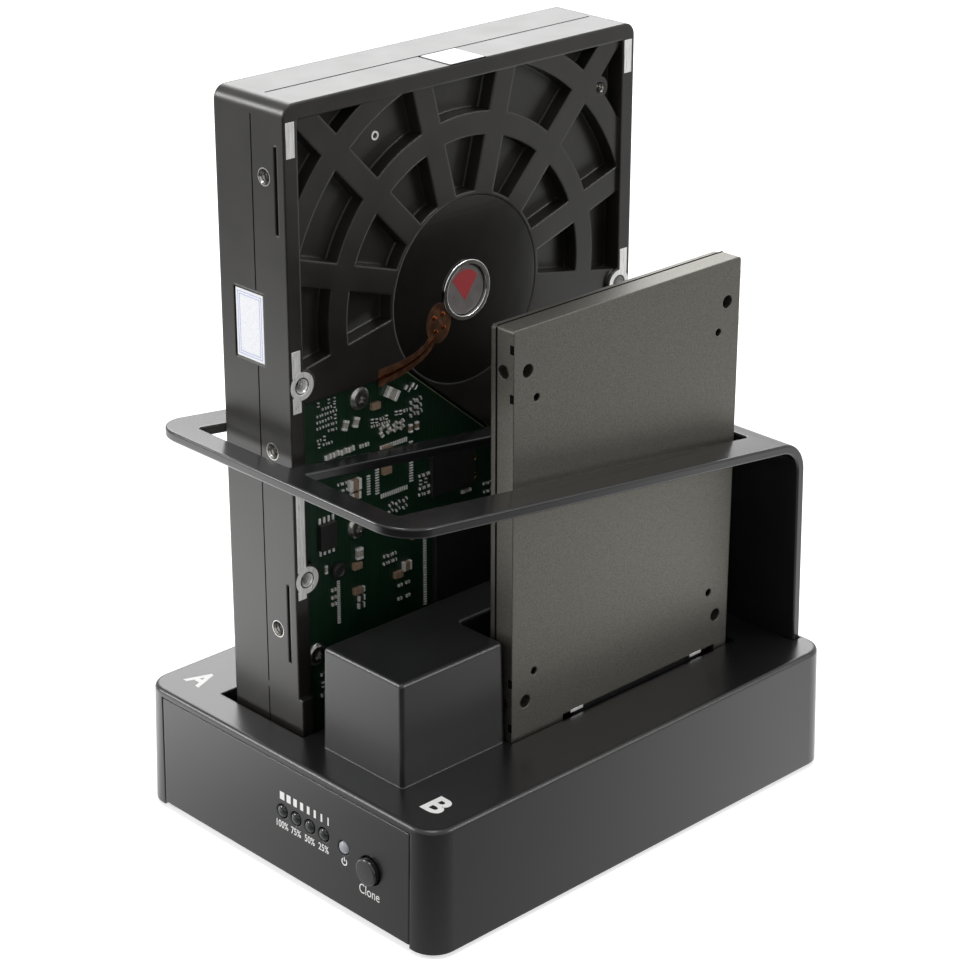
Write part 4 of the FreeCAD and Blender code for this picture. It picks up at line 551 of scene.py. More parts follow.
def close_bar(shape, rows):
    """Joins rows of four corners into one closed bar."""
    for a, b in zip(rows, rows[1:]):
        for one, two in ((0, 1), (1, 3), (3, 2), (2, 0)):
            shape.faces.new((a[one], a[two], b[two], b[one]))
    for end in (rows[0], rows[-1]):
        shape.faces.new((end[0], end[1], end[3], end[2]))


def strip(shape, line, widths, near, far):
    """A flat band along a line of Y and Z places, between two places in X."""
    rows = []
    for number, (y, z) in enumerate(line):
        before, after = line[max(number - 1, 0)], line[min(number + 1, len(line) - 1)]
        along = Vector((after[0] - before[0], after[1] - before[1])).normalized()
        across = Vector((-along.y, along.x)) * widths[number] / 2
        rows.append([shape.verts.new((x, y + side * across.x, z + side * across.y))
                     for x in (near, far) for side in (-1, 1)])
    close_bar(shape, rows)


# ---- prints on the housing ----

# The front panel leans back by its draft. Prints are drawn thicker than real ink, so that they stay whole.
DRAFT = math.radians(1.2)
PRINT_THICK = 0.03
LIGHT_WIDE = 3.0


def status_lights():
    """X and Z in millimetres of the four status lights."""
    low, high = box_of("status_lights")
    pitch = (high.x - low.x - LIGHT_WIDE) / 3
    return [(low.x + LIGHT_WIDE / 2 + number * pitch, (low.z + high.z) / 2) for number in range(4)]


def front_plane(x, z):
    """A place on the drafted front panel, with the directions right and up along it."""
    y = BASE_FRONT + (z - BASE_FOOT) * math.tan(DRAFT)
    return Vector((x, y, z)), Vector((1, 0, 0)), Vector((0, math.sin(DRAFT), math.cos(DRAFT)))


def deck_plane(x, y):
    """A place on the deck, with the directions right and up along it."""
    return Vector((x, y, DECK)), Vector((1, 0, 0)), Vector((0, 1, 0))


def lay_out(shape, place, right, up):
    """Moves a flat print from its own plane to a place on the housing."""
    turn = Matrix((right, up, right.cross(up))).transposed().to_4x4()
    shape.transform(Matrix.Translation(place) @ turn)


def print_word(name, text, wide, tall, plane, bolder=0.0):
    """Lettering of a given width and height in millimetres, printed on a plane."""
    letters = bpy.data.curves.new(name, "FONT")
    letters.body = text
    letters.offset = bolder
    letters.extrude = 0.01
    letters.resolution_u = 5
    holder = placed(name + "_text", letters)
    seen = holder.evaluated_get(bpy.context.evaluated_depsgraph_get())
    mesh = bpy.data.meshes.new_from_object(seen)
    bpy.data.objects.remove(holder)
    points = [vert.co for vert in mesh.vertices]
    low, high = (Vector([pick(point[axis] for point in points) for axis in (X, Y, Z)])
                 for pick in (min, max))
    size = high - low
    shape = bmesh.new()
    shape.from_mesh(mesh)
    bmesh.ops.translate(shape, vec=-(low + high) / 2, verts=shape.verts)
    bmesh.ops.scale(shape, vec=(wide / size.x, tall / size.y, PRINT_THICK / size.z), verts=shape.verts)
    bmesh.ops.remove_doubles(shape, verts=shape.verts, dist=0.002)
    lay_out(shape, *plane)
    new_piece(name, shape, mesh, "ink", "dock")


def power_mark(shape):
    """Open ring with a short bar in its gap, under the power light."""
    inner, outer, steps = 0.62, 0.92, 28
    half = PRINT_THICK / 2
    gap = math.radians(35)
    rows = []
    for step in range(steps + 1):
        turn = math.pi / 2 + gap + (2 * math.pi - 2 * gap) * step / steps
        rows.append([shape.verts.new((reach * math.cos(turn), reach * math.sin(turn), z))
                     for reach in (inner, outer) for z in (-half, half)])
    close_bar(shape, rows)
    block(shape, (-0.15, 0.1, -half), (0.15, 1.15, half))
    lay_out(shape, *front_plane(middle_of("power_light", X) + 0.2, middle_of("power_light", Z) - 3.3))


def progress_bars(shape, tall):
    """Eight bars over the status lights, each narrower than the one before."""
    start, row = status_lights()[0]
    pitch, widest, less = 2.17, 1.5, 0.16
    for number in range(8):
        x, half = start + pitch * number, (widest - less * number) / 2
        block(shape, (x - half, -tall / 2, -PRINT_THICK / 2), (x + half, tall / 2, PRINT_THICK / 2))
    lay_out(shape, *front_plane(0.0, row + 3.8))


class DUPLICATOR_OT_print_marks(bpy.types.Operator):
    """Print the bay letters, progress bars, percentages, power mark and button word."""
    bl_idname = "duplicator.print_marks"
    bl_label = "Print marks"

    def execute(self, context):
        sizes = context.scene.duplicator_housing
        letter, tall = sizes.letter_tall / MM, sizes.bar_tall / MM
        print_word("bay_letter_a", "A", 5.6, letter, deck_plane(-39.5, -53.0), bolder=0.03)
        print_word("bay_letter_b", "B", 4.9, letter, deck_plane(39.2, -52.9), bolder=0.03)
        piece_from("progress_bars", lambda shape: progress_bars(shape, tall), "ink", "dock")
        for (x, z), text, wide in zip(status_lights(), ("100%", "75%", "50%", "25%"), (3.9, 3.3, 3.3, 3.3)):
            print_word(f"percent_{text[:-1]}", text, wide, sizes.percent_tall / MM, front_plane(x, z - 3.3),
                       bolder=0.012)
        piece_from("power_mark", power_mark, "ink", "dock")
        under_button = front_plane(middle_of("clone_button", X), 8.9)
        print_word("button_word", "Clone", 6.4, sizes.word_tall / MM, under_button)
        return {"FINISHED"}


# ---- housing ----

class DUPLICATOR_OT_dress_base(bpy.types.Operator):
    """Finish the moulded base, its front panel, bottom plate, feet and screws."""
    bl_idname = "duplicator.dress_base"
    bl_label = "Dress base"

    def execute(self, context):
        housing = context.scene.duplicator_housing
        mix_materials(housing, context.scene.duplicator_drives)
        paint("shell", "top_shell", "front_panel", "bottom_plate")
        paint("foot", "rubber_feet")
        paint("steel", "bottom_screws", "frame_screws", "board_screws")
        soften(0.6 * housing.edge, "front_panel")
        soften(0.8 * housing.edge, "bottom_plate")
        soften(0.5 * housing.edge, "bottom_screws", "frame_screws", "board_screws")
        return {"FINISHED"}


class DUPLICATOR_OT_dress_frame(bpy.types.Operator):
    """Finish the bent guide frame."""
    bl_idname = "duplicator.dress_frame"
    bl_label = "Dress guide frame"

    def execute(self, context):
        paint("frame", "guide_frame")
        soften(context.scene.duplicator_housing.frame_edge, "guide_frame", steps=3)
        return {"FINISHED"}


def lens_domes(shape, places):
    """Low domes that fill the panel's light holes."""
    dome = ((4.0, 1.4), (0.25, 1.5), (0.0, 1.42), (-0.22, 1.2), (-0.4, 0.9), (-0.52, 0.5), (-0.56, 0.1))
    for x, z in places:
        lathe(shape, dome, front_plane(x, z)[0], "Y", steps=36)


class DUPLICATOR_OT_dress_controls(bpy.types.Operator):
    """Finish the lights, the copy button and the parts behind them."""
    bl_idname = "duplicator.dress_controls"
    bl_label = "Dress controls"

    def execute(self, context):
        paint("smoky", "status_lights")
        paint("frosted", "power_light")
        paint("key", "clone_button")
        paint("socket", "light_holder", "button_switch", "switch_plunger")
        soften(0.1 * MM, "clone_button", "light_holder", "button_switch")
        power_light = (middle_of("power_light", X), middle_of("power_light", Z))
        for name, places, finish in (("status_lens_domes", status_lights(), "smoky"),
                                     ("power_lens_dome", [power_light], "frosted")):
            piece_from(name, lambda shape: lens_domes(shape, places), finish, "dock")
        return {"FINISHED"}


class DUPLICATOR_OT_dress_rear(bpy.types.Operator):
    """Finish the data port, power jack and rocker switch."""
    bl_idname = "duplicator.dress_rear"
    bl_label = "Dress rear connectors"

    def execute(self, context):
        paint("port", "data_port", "jack_pin")
        paint("tongue", "data_port_tongue")
        paint("key", "power_jack", "switch_case", "switch_rocker")
        soften(0.15 * MM, "data_port", "data_port_tongue", "power_jack", "switch_rocker")
        return {"FINISHED"}


class DUPLICATOR_OT_dress_electronics(bpy.types.Operator):
    """Finish the main board and what stands on it."""
    bl_idname = "duplicator.dress_electronics"
    bl_label = "Dress main board"

    def execute(self, context):
        paint("main_mask", "main_board")
        paint("socket", "socket_a", "socket_b")
        paint("epoxy", "bridge_chip", "board_chips")
        paint("can", "capacitors")
        soften(0.2 * MM, "bridge_chip", "board_chips")
        return {"FINISHED"}


# ---- large drive ----

class DUPLICATOR_OT_dress_large_drive(bpy.types.Operator):
    """Finish the casting, cover, motor and insides of the large drive."""
    bl_idname = "duplicator.dress_large_drive"
    bl_label = "Dress large drive"

    def execute(self, context):
        paint("casting", "hdd_casting")
        paint("cover", "hdd_cover", "hdd_clamp", "hdd_spacer")
        paint("steel", "hdd_cover_screws", "hdd_board_screws")
        paint("film", "hdd_flex")
        paint("motor", "hdd_motor_base")
        paint("chrome", "hdd_motor_ring")
        paint("cap", "hdd_motor_cap")
        paint("mask", "hdd_board")
        paint("epoxy", "hdd_chips")
        paint("tan", "hdd_capacitors")
        paint("socket", "hdd_connector")
        paint("turned", "hdd_spindle_hub", "hdd_spindle_post", "hdd_pivot_post", "hdd_arm")
        paint("mirror", "hdd_platters")
        paint("copper", "hdd_coil")
        paint("nickel", "hdd_magnets")
        paint("paper", "hdd_side_label", "hdd_end_label")
        soften(0.35 * MM, "hdd_cover")
        soften(0.2 * MM, "hdd_motor_ring", "hdd_motor_cap", "hdd_chips", "hdd_cover_screws", "hdd_connector")
        soften(0.12 * MM, "hdd_capacitors", "hdd_arm")
        return {"FINISHED"}


# Standard screw holes of a 3.5-inch drive, in millimetres from its foot, its edges and its board side.
SIDE_HOLES, SIDE_HOLE_DEEP = (28.5, 70.1, 130.1), 6.35
BOTTOM_HOLES, BOTTOM_HOLE_IN = (41.28, 85.73), 3.18


def both_edges(near, far):
    """The Y stretch between two distances from the drive's front edge, and its mirror image at the rear."""
    return (DRIVE_FRONT + near, DRIVE_FRONT + far), (DRIVE_REAR - far, DRIVE_REAR - near)


def machined_lands(shape):
    """Bright milled faces along both edges of the casting, and threaded rings at its bottom holes."""
    proud = 0.05
    ring = ((-0.3, 3.1), (2 * proud, 3.1), (2 * proud, 1.95), (-0.3, 1.6))
    for low, high in ((37.0, 39.2), (43.4, 61.8), (79.9, 83.6), (87.8, 93.8), (134.8, 142.4)):
        for near, far in both_edges(0.6, 3.0):
            block(shape, (DRIVE_FACE - 0.4, near, DRIVE_FOOT + low),
                  (DRIVE_FACE + proud, far, DRIVE_FOOT + high), 0.1)
    for along in BOTTOM_HOLES:
        for across in (BOTTOM_HOLE_IN, DRIVE_REAR - DRIVE_FRONT - BOTTOM_HOLE_IN):
            middle = (DRIVE_FACE, *at_drive(across, along))
            lathe(shape, ring, middle, ends="joined")
            thread(shape, middle, "X", -1, 1.6)


def thread_rims(shape):
    """Rims and threads of the side holes, and the thread of one screw hole in a pocket."""
    for along in SIDE_HOLES:
        for edge, out in ((DRIVE_FRONT, -1), (DRIVE_REAR, 1)):
            middle = (DRIVE_FACE - SIDE_HOLE_DEEP, edge, DRIVE_FOOT + along)
            rim = [(out * ahead, radius) for ahead, radius in
                   ((-0.3, 1.95), (0.05, 1.95), (0.05, 1.75), (-0.3, 1.55))]
            lathe(shape, rim, middle, "Y", ends="joined")
            thread(shape, middle, "Y", -out, 1.55)
    thread(shape, (DRIVE_FACE - 0.9, *at_drive(91.9, 132.6)), "X", -1, 1.22)


def parting_line_shade(shape):
    """The line where the casting's mould parted, round three of its sides, drawn as a dark band of painted
    shade.
    """
    x, half = DRIVE_FACE - 10.2, 0.14
    for low, high in ((0.5, 13.0), (14.5, 88.5), (105.0, DRIVE_TOP - DRIVE_FOOT - 3.5)):
        for near, far in both_edges(-0.06, 0.2):
            block(shape, (x - half, near, DRIVE_FOOT + low), (x + half, far, DRIVE_FOOT + high), 0.04)
    block(shape, (x - half, DRIVE_FRONT + 4, DRIVE_TOP - 0.2),
          (x + half, DRIVE_REAR - 4, DRIVE_TOP + 0.06), 0.04)


def label_border(shape):
    """Two printed lines round the side label."""
    low, high = box_of("hdd_side_label")
    line = 0.16
    for inset in (0.55, 1.1):
        left, right, foot, top = low.x + inset, high.x - inset, low.z + inset, high.z - inset
        for x0, x1, z0, z1 in ((left, right, foot, foot + line), (left, right, top - line, top),
                               (left, left + line, foot, top), (right - line, right, foot, top)):
            block(shape, (x0, low.y - 0.02, z0), (x1, low.y + 0.02, z1))


def label_gap_shade(shape):
    """Painted shade: a dark block in the gap round the label on the drive's top end."""
    low, high = box_of("hdd_end_label")
    gap = 0.35
    block(shape, (low.x - gap, low.y - gap, low.z - 0.1), (high.x + gap, high.y + gap, low.z + 0.05))


def cap_sector(shape):
    """A plain sector on the motor's cap, its point down."""
    y, z = middle_of("hdd_motor_ring", Y), middle_of("hdd_motor_ring", Z)
    cap = side_of("hdd_motor_cap", X, True)
    steps, reach, below = 16, 4.5, 2.6
    turns = [math.radians(35 + 110 * step / steps) for step in range(steps + 1)]
    for x in (cap - 0.02, cap + 0.04):
        point = shape.verts.new((x, y, z - below))
        rim = [shape.verts.new((x, y + reach * math.cos(turn), z + reach * math.sin(turn)))
               for turn in turns]
        shape.faces.new([point] + rim)
    bmesh.ops.bridge_loops(shape, edges=[edge for edge in shape.edges if len(edge.link_faces) == 1])


def ring_mark(shape):
    """A small ring left by the mould's pin on a pocket's floor."""
    middle = (DRIVE_FACE - 4.4, *at_drive(28.1, 133.6))
    lathe(shape, ((-0.1, 1.05), (0.25, 1.0), (0.25, 0.6), (-0.1, 0.55)), middle, steps=24, ends="joined")


class DUPLICATOR_OT_finish_casting(bpy.types.Operator):
    """Add the casting's machined lands, thread rims, parting line, label borders and marks."""
    bl_idname = "duplicator.finish_casting"
    bl_label = "Finish casting"

    def execute(self, context):
        for name, build, finish, slot in (
                ("machined_lands", machined_lands, "machined", "cast_alloy"),
                ("side_thread_rims", thread_rims, "steel", "cast_alloy"),
                ("parting_line_shade", parting_line_shade, "groove", "cast_alloy"),
                ("side_label_border", label_border, "blue", "label_paper"),
                ("end_label_recess", label_gap_shade, "groove", "cast_alloy"),
                ("motor_cap_print", cap_sector, "red", "motor_cap"),
                ("pocket_ring_mark", ring_mark, "machined", "cast_alloy")):
            piece_from(name, build, finish, "large_drive")
        return {"FINISHED"}


# ---- the large drive's circuit board ----

# Rows and fields of small parts, in millimetres from the drive's front edge and foot:
# across, along, columns, rows, pitch across, pitch along, wide, tall, high, turn in degrees, kind
FIELDS = (
    (9.5, 69.8, 4, 8, 1.5, 1.35, 1.05, 0.55, 0.4, 0, "dark"),
    (11.8, 66.6, 4, 1, 2.15, 0.0, 1.75, 1.15, 0.6, 8, "grey"),
    (21.4, 66.3, 2, 1, 1.4, 0.0, 1.0, 0.8, 0.5, 0, "grey"),
    (16.7, 72.5, 2, 1, 3.1, 0.0, 2.3, 1.3, 0.7, 70, "grey"),
    (30.0, 76.4, 1, 1, 0.0, 0.0, 3.5, 2.5, 1.1, -32, "grey"),
    (34.9, 76.2, 2, 1, 1.9, 0.0, 1.5, 1.1, 0.6, -40, "dark"),
    (36.2, 69.8, 2, 3, 1.9, 1.5, 1.4, 0.9, 0.6, 20, "dark"),
    (24.4, 71.2, 8, 1, 1.38, 0.0, 0.95, 0.7, 0.5, 90, "dark"),
    (24.6, 69.9, 4, 1, 1.5, 0.0, 0.9, 0.6, 0.4, 0, "tan"),
    (27.2, 67.6, 4, 2, 1.9, 1.3, 1.35, 0.8, 0.6, 30, "grey"),
    (35.4, 66.6, 2, 1, 2.0, 0.0, 1.9, 0.9, 0.7, 90, "tan"),
    (18.8, 58.3, 1, 1, 0.0, 0.0, 3.2, 2.5, 1.2, 0, "tan"),
    (19.2, 55.7, 1, 1, 0.0, 0.0, 2.6, 1.7, 1.0, 0, "tan"),
    (15.0, 57.6, 2, 2, 1.3, 1.6, 1.1, 0.6, 0.4, 0, "dark"),
    (38.5, 49.8, 4, 4, 1.45, 1.55, 1.15, 0.65, 0.5, 0, "dark"),
    (29.5, 48.6, 3, 2, 2.1, 1.5, 1.25, 0.75, 0.5, 25, "dark"),
    (52.2, 46.8, 1, 1, 0.0, 0.0, 2.9, 0.8, 0.6, 0, "grey"),
    (58.2, 44.6, 2, 2, 1.3, 2.0, 1.0, 0.6, 0.5, 0, "dark"),
    (20.0, 41.4, 1, 1, 0.0, 0.0, 2.7, 1.7, 0.9, 90, "grey"),
    (10.5, 40.6, 1, 1, 0.0, 0.0, 2.0, 0.7, 0.5, 90, "grey"),
    (12.6, 31.6, 1, 3, 0.0, 1.7, 1.3, 0.75, 0.5, 0, "grey"),
    (20.4, 28.8, 1, 3, 0.0, 1.9, 1.9, 1.3, 0.7, 0, "dark"),
    (27.6, 36.6, 3, 2, 1.4, 1.6, 1.05, 0.65, 0.5, 0, "dark"),
    (33.8, 34.0, 1, 1, 0.0, 0.0, 2.4, 2.2, 0.9, 0, "tan"),
    (31.9, 26.6, 2, 2, 2.4, 3.2, 1.2, 0.7, 0.5, 0, "grey"),
    (9.0, 10.5, 5, 3, 2.2, 2.6, 1.3, 0.8, 0.5, 0, "dark"),
    (58.0, 56.5, 10, 1, 2.9, 0.0, 1.3, 0.8, 0.5, 90, "dark"),
    (84.0, 30.0, 3, 9, 2.5, 3.0, 1.3, 0.8, 0.5, 0, "grey"),
    (57.0, 12.0, 12, 2, 2.6, 3.0, 1.3, 0.8, 0.5, 0, "dark"),
)

# Rows of leads round the packages: across, along, step across, step along, count, wide, tall
LEADS = (
    (26.9, 64.3, 0.62, 0.0, 13, 0.3, 1.0),
    (26.9, 52.9, 0.62, 0.0, 13, 0.3, 1.0),
    (35.7, 54.0, 0.0, 0.62, 16, 1.0, 0.3),
    (25.7, 54.0, 0.0, 0.62, 16, 1.0, 0.3),
    (23.2, 54.6, 0.0, 0.6, 8, 0.9, 0.3),
    (39.6, 22.6, 0.0, 0.6, 32, 0.9, 0.32),
    (53.9, 22.6, 0.0, 0.6, 32, 0.9, 0.32),
    (9.1, 52.3, 1.25, 0.0, 4, 0.5, 1.5),
    (9.1, 44.9, 1.25, 0.0, 4, 0.5, 1.5),
    (14.0, 26.6, 0.0, 0.5, 21, 0.8, 0.26),
    (66.6, 25.4, 0.8, 0.0, 17, 0.36, 1.1),
    (66.6, 40.6, 0.8, 0.0, 17, 0.36, 1.1),
    (66.4, 45.4, 0.9, 0.0, 13, 0.4, 1.1),
    (66.4, 55.6, 0.9, 0.0, 13, 0.4, 1.1),
)

# How deep parts sit in the board, and how much of a part's width each of its tinned ends takes.
SUNK, TINNED = 0.02, 0.24


def small_parts():
    """Kind, Y, Z, size and turn of every small part, with some play and some left out of crowded fields."""
    draw = random.Random(7)
    play, left_out, turned = 0.12, 0.12, 0.3
    parts = []
    for across, along, columns, rows, step_a, step_u, wide, tall, high, turn, kind in FIELDS:
        crowded = columns * rows > 6
        for column in range(columns):
            for row in range(rows):
                if crowded and draw.random() < left_out:
                    continue
                a = across + column * step_a + draw.uniform(-play, play)
                u = along + row * step_u + draw.uniform(-play, play)
                quarter = 90 if crowded and draw.random() < turned else 0
                parts.append((kind, *at_drive(a, u), wide, tall, high, math.radians(turn + quarter)))
    return parts


def stand(shape, y, z, wide, tall, high, round_by, turn=0.0):
    """A block about a place on the board."""
    block(shape, (BOARD_FACE - SUNK, y - wide / 2, z - tall / 2),
          (BOARD_FACE + high, y + wide / 2, z + tall / 2), round_by, turn)


def ceramics(shape, parts, wanted):
    """The bodies of one kind of part, a little slimmer than their tinned ends."""
    for kind, y, z, wide, tall, high, turn in parts:
        if kind == wanted:
            stand(shape, y, z, wide - 2 * TINNED * wide, tall - 0.06, high - 0.03, 0.05, turn)


def tinned(shape, parts):
    """The tinned ends of all the parts, and the leads of the packages."""
    for _, y, z, wide, tall, high, turn in parts:
        for side in (-1, 1):
            reach = side * (wide - TINNED * wide) / 2
            stand(shape, y + reach * math.cos(turn), z + reach * math.sin(turn), TINNED * wide, tall, high,
                  0.06, turn)
    for across, along, step_a, step_u, count, wide, tall in LEADS:
        for number in range(count):
            y, z = at_drive(across + number * step_a, along + number * step_u)
            stand(shape, y, z, wide, tall, 0.35, 0.05)


def test_pads(shape):
    """Ring pads near the board's middle and round pads along its foot."""
    ring = ((-SUNK, 0.95), (0.05, 0.9), (0.05, 0.5), (-SUNK, 0.45))
    for column in range(4):
        for row in range(2):
            middle = (BOARD_FACE, *at_drive(47.0 + 2.7 * column, 50.2 + 4.6 * row - 0.3 * column))
            lathe(shape, ring, middle, steps=24, ends="joined")
    for number in range(9):
        middle = (BOARD_FACE, *at_drive(12.0 + 9.5 * number, 5.0 + 2.0 * (number % 2)))
        lathe(shape, ((-SUNK, 0.6), (0.04, 0.55)), middle, steps=20)


def cut_edge(shape):
    """The pale cut edge of the laminate, along the board's stepped upper side."""
    line = [at_drive(*corner) for corner in ((4.0, 80.6), (34.0, 80.6), (58.5, 60.1), (97.5, 60.1))]
    strip(shape, line, [0.25] * len(line), BOARD_FACE, BOARD_FACE + 0.03)


def inductor(shape):
    """A round choke with a hollow in its top."""
    lathe(shape, ((-SUNK, 1.9), (0.3, 2.0), (0.9, 1.85), (1.1, 1.2), (0.8, 0.9)),
          (BOARD_FACE, *at_drive(13.9, 39.3)))


def star_screws(shape):
    """The board's five screws, with a six-lobed socket in each head."""
    high = side_of("hdd_board_screws", X, True) - BOARD_FACE
    wide = DRIVE_REAR - DRIVE_FRONT
    head = ((0.0, 2.6), (0.25, 2.6), (0.4, 2.3), (high - 0.12, 1.95), (high, 1.5))
    socket = ((high, 1.0), (high - 0.1, 0.95), (0.2, 0.9))
    for place in ((21.0, 77.5), (19.6, 47.8), (7.2, 21.2), (wide - 14, 24.0), (wide - 14, 54.0)):
        lathe(shape, head + socket, (BOARD_FACE, *at_drive(*place)), steps=72, lobes=0.16,
              lobed_rings=(5, 6, 7))


class DUPLICATOR_OT_fit_board_parts(bpy.types.Operator):
    """Fit the small parts, leads, test pads and screws of the large drive's circuit board."""
    bl_idname = "duplicator.fit_board_parts"
    bl_label = "Fit board parts"

    def execute(self, context):
        parts = small_parts()
        for kind in ("dark", "grey", "tan"):
            piece_from(f"board_parts_{kind}", lambda shape: ceramics(shape, parts, kind), kind,
                       "large_drive", 0.0)
        piece_from("board_parts_ends", lambda shape: tinned(shape, parts), "tin", "large_drive",
                   0.0)
        piece_from("board_test_pads", test_pads, "gold", "large_drive")
        piece_from("board_cut_edge", cut_edge, "laminate", "large_drive")
        piece_from("board_inductor", inductor, "epoxy", "large_drive")
        screws = piece_from("board_screws_star", star_screws, "steel", "large_drive", 30.0)
        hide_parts("hdd_board_screws")
        return {"FINISHED"}


# ---- the large drive's motor flex ----

FLEX_X = side_of("hdd_flex", X, False)
PAD_Y, PAD_Z = at_drive(42.6, 89.6)


def ribbon_line():
    """Middle line of the ribbon, curving from its pad down to the board's upper edge."""
    start, bend, end = at_drive(41.0, 86.5), at_drive(37.6, 81.9), at_drive(25.0, 81.4)
    return [tuple((1 - t) ** 2 * s + 2 * t * (1 - t) * b + t * t * e for s, b, e in zip(start, bend, end))
            for t in (step / 18 for step in range(19))]


def flex_film(shape):
    """The film's oval pad, and its ribbon that widens towards the board."""
    across, along, thick = 3.6, 4.6, 0.12
    lathe(shape, ((0.0, across), (thick, across)), (FLEX_X, PAD_Y, PAD_Z), steps=44, oval=along / across)
    run = ribbon_line()
    widths = [2.6 + 1.5 * (number / (len(run) - 1)) ** 2 for number in range(len(run))]
    strip(shape, run, widths, FLEX_X, FLEX_X + 0.1)


def flex_traces(shape):
    """Four copper traces that fan out along the ribbon, and four soldered spots on its pad."""
    run = ribbon_line()
    for lane in (-0.75, -0.25, 0.25, 0.75):
        line = [(y + lane * (0.6 + 0.9 * number / len(run)), z + lane * 0.5)
                for number, (y, z) in enumerate(run)]
        strip(shape, line, [0.22] * len(line), FLEX_X + 0.08, FLEX_X + 0.16)
    for across, along in ((-1.3, 1.5), (1.2, 1.9), (-0.9, -1.7), (1.4, -1.2)):
        lathe(shape, ((0.1, 0.55), (0.3, 0.5), (0.38, 0.2)), (FLEX_X, PAD_Y + across, PAD_Z + along),
              steps=20)


class DUPLICATOR_OT_lay_flex(bpy.types.Operator):
    """Lay the motor's film flex, with its copper traces, from the dish to the board."""
    bl_idname = "duplicator.lay_flex"
    bl_label = "Lay motor flex"

    def execute(self, context):
        film = piece_from("motor_flex", flex_film, "film", "large_drive")
        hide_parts("hdd_flex")
        piece_from("motor_flex_traces", flex_traces, "copper", "large_drive")
        return {"FINISHED"}


# ---- small drive ----

def case_gap_shade(shape):
    """Painted shade: dark blocks in the joint round the small drive's case, and in the snap windows along
    its long edges.
    """
    low, high = box_of("ssd_case")
    near, far, skin = low.x - 0.15, low.x + 0.4, 0.02
    block(shape, (near, low.y - skin, low.z + 2), (far, low.y + 0.3, high.z - 0.4))
    block(shape, (near, high.y - 0.3, low.z + 2), (far, high.y + skin, high.z - 0.4))
    block(shape, (near, low.y + 0.4, high.z - 0.3), (far, high.y - 0.4, high.z + skin))
    for along in (8.6, 19.4, 85.2, 96.0):
        for edge in (low.y, high.y):
            block(shape, (high.x - 1.1, edge - skin, low.z + along - 1.0),
                  (high.x + skin, edge + skin, low.z + along + 1.0))


def shield_tabs(shape):
    """Bright shield tabs at both ends of the connector's mouth."""
    low, high = box_of("ssd_case")
    for across in (20.3, 59.4):
        block(shape, (high.x - 0.3, low.y + across - 2.0, low.z + 5.8),
              (high.x + 0.03, low.y + across + 2.0, low.z + 6.7), 0.1)


class DUPLICATOR_OT_dress_small_drive(bpy.types.Operator):
    """Finish the small drive and its insides."""
    bl_idname = "duplicator.dress_small_drive"
    bl_label = "Dress small drive"

    def execute(self, context):
        paint("anodised", "ssd_case", "ssd_cover")
        paint("main_mask", "ssd_board")
        paint("epoxy", "ssd_chips")
        paint("socket", "ssd_connector")
        soften(0.15 * MM, "ssd_chips")
        piece_from("case_gap_shade", case_gap_shade, "groove", "small_drive")
        piece_from("connector_shield_tabs", shield_tabs, "machined", "small_drive")
        return {"FINISHED"}


# ---- stage ----

def soft_lamp(name, place, aim_high, wide, tall, power):
    """A soft box as an area lamp that points at a height on the part's upright axis."""
    data = bpy.data.lights.new(name, "AREA")
    data.shape = "RECTANGLE"
    data.size, data.size_y = wide, tall
    data.energy = power
    lamp = placed(name, data)
    lamp.location = place
    lamp.rotation_euler = (Vector((0, 0, aim_high)) - Vector(place)).to_track_quat("-Z", "Y").to_euler()


def bare_tree(owner):
    """The emptied node tree of a material or a world."""
    owner.use_nodes = True
    owner.node_tree.nodes.clear()
    return owner.node_tree


def work(tree, operation, first, second=0.0):
    """One step of arithmetic on sockets or numbers."""
    return add(tree, "ShaderNodeMath", {"operation": operation}, {0: first, 1: second}).outputs[0]


def measure(tree, operation, first, second=(0.0, 0.0, 0.0)):
    """A number from one vector or two."""
    made = add(tree, "ShaderNodeVectorMath", {"operation": operation}, {0: first, 1: second})
    return made.outputs["Value"]


def fade(tree, distance, start, end, before, after):
    """Goes smoothly from one value to another between two distances in metres."""
    return add(tree, "ShaderNodeMapRange", {"interpolation_type": "SMOOTHSTEP"},
               {"Value": distance, "From Min": start, "From Max": end, "To Min": before,
                "To Max": after}).outputs["Result"]


def mix(tree, share, first, second):
    """A blend of two shaders."""
    return add(tree, "ShaderNodeMixShader", inputs={"Fac": share, 1: first, 2: second}).outputs[0]


def mirrored(tree):
    """1 for glossy and transmission rays."""
    path = add(tree, "ShaderNodeLightPath")
    return work(tree, "MAXIMUM", path.outputs["Is Glossy Ray"], path.outputs["Is Transmission Ray"])


def seen_directly(tree):
    """1 for camera, glossy and transmission rays."""
    path = add(tree, "ShaderNodeLightPath")
    return work(tree, "MAXIMUM", path.outputs["Is Camera Ray"], mirrored(tree))


def floor_glow(tree):
    """How bright the floor looks in reflections: less towards the front and far out, more front left."""
    towards_front, front_left, fall_per_metre = (0.72, -0.69, 0.0), (-0.15, -0.18, 0.0), -14.0
    place = add(tree, "ShaderNodeTexCoord").outputs["Object"]
    ahead = work(tree, "MAXIMUM", measure(tree, "DOT_PRODUCT", place, towards_front), 0.0)
    fall = work(tree, "EXPONENT", work(tree, "MULTIPLY", ahead, fall_per_metre))
    near = fade(tree, measure(tree, "LENGTH", place), 0.14, 0.38, 1.8, 1.0)
    patch = fade(tree, measure(tree, "DISTANCE", place, front_left), 0.06, 0.17, 1.6, 0.0)
    return work(tree, "ADD", work(tree, "MULTIPLY", fall, near), patch)


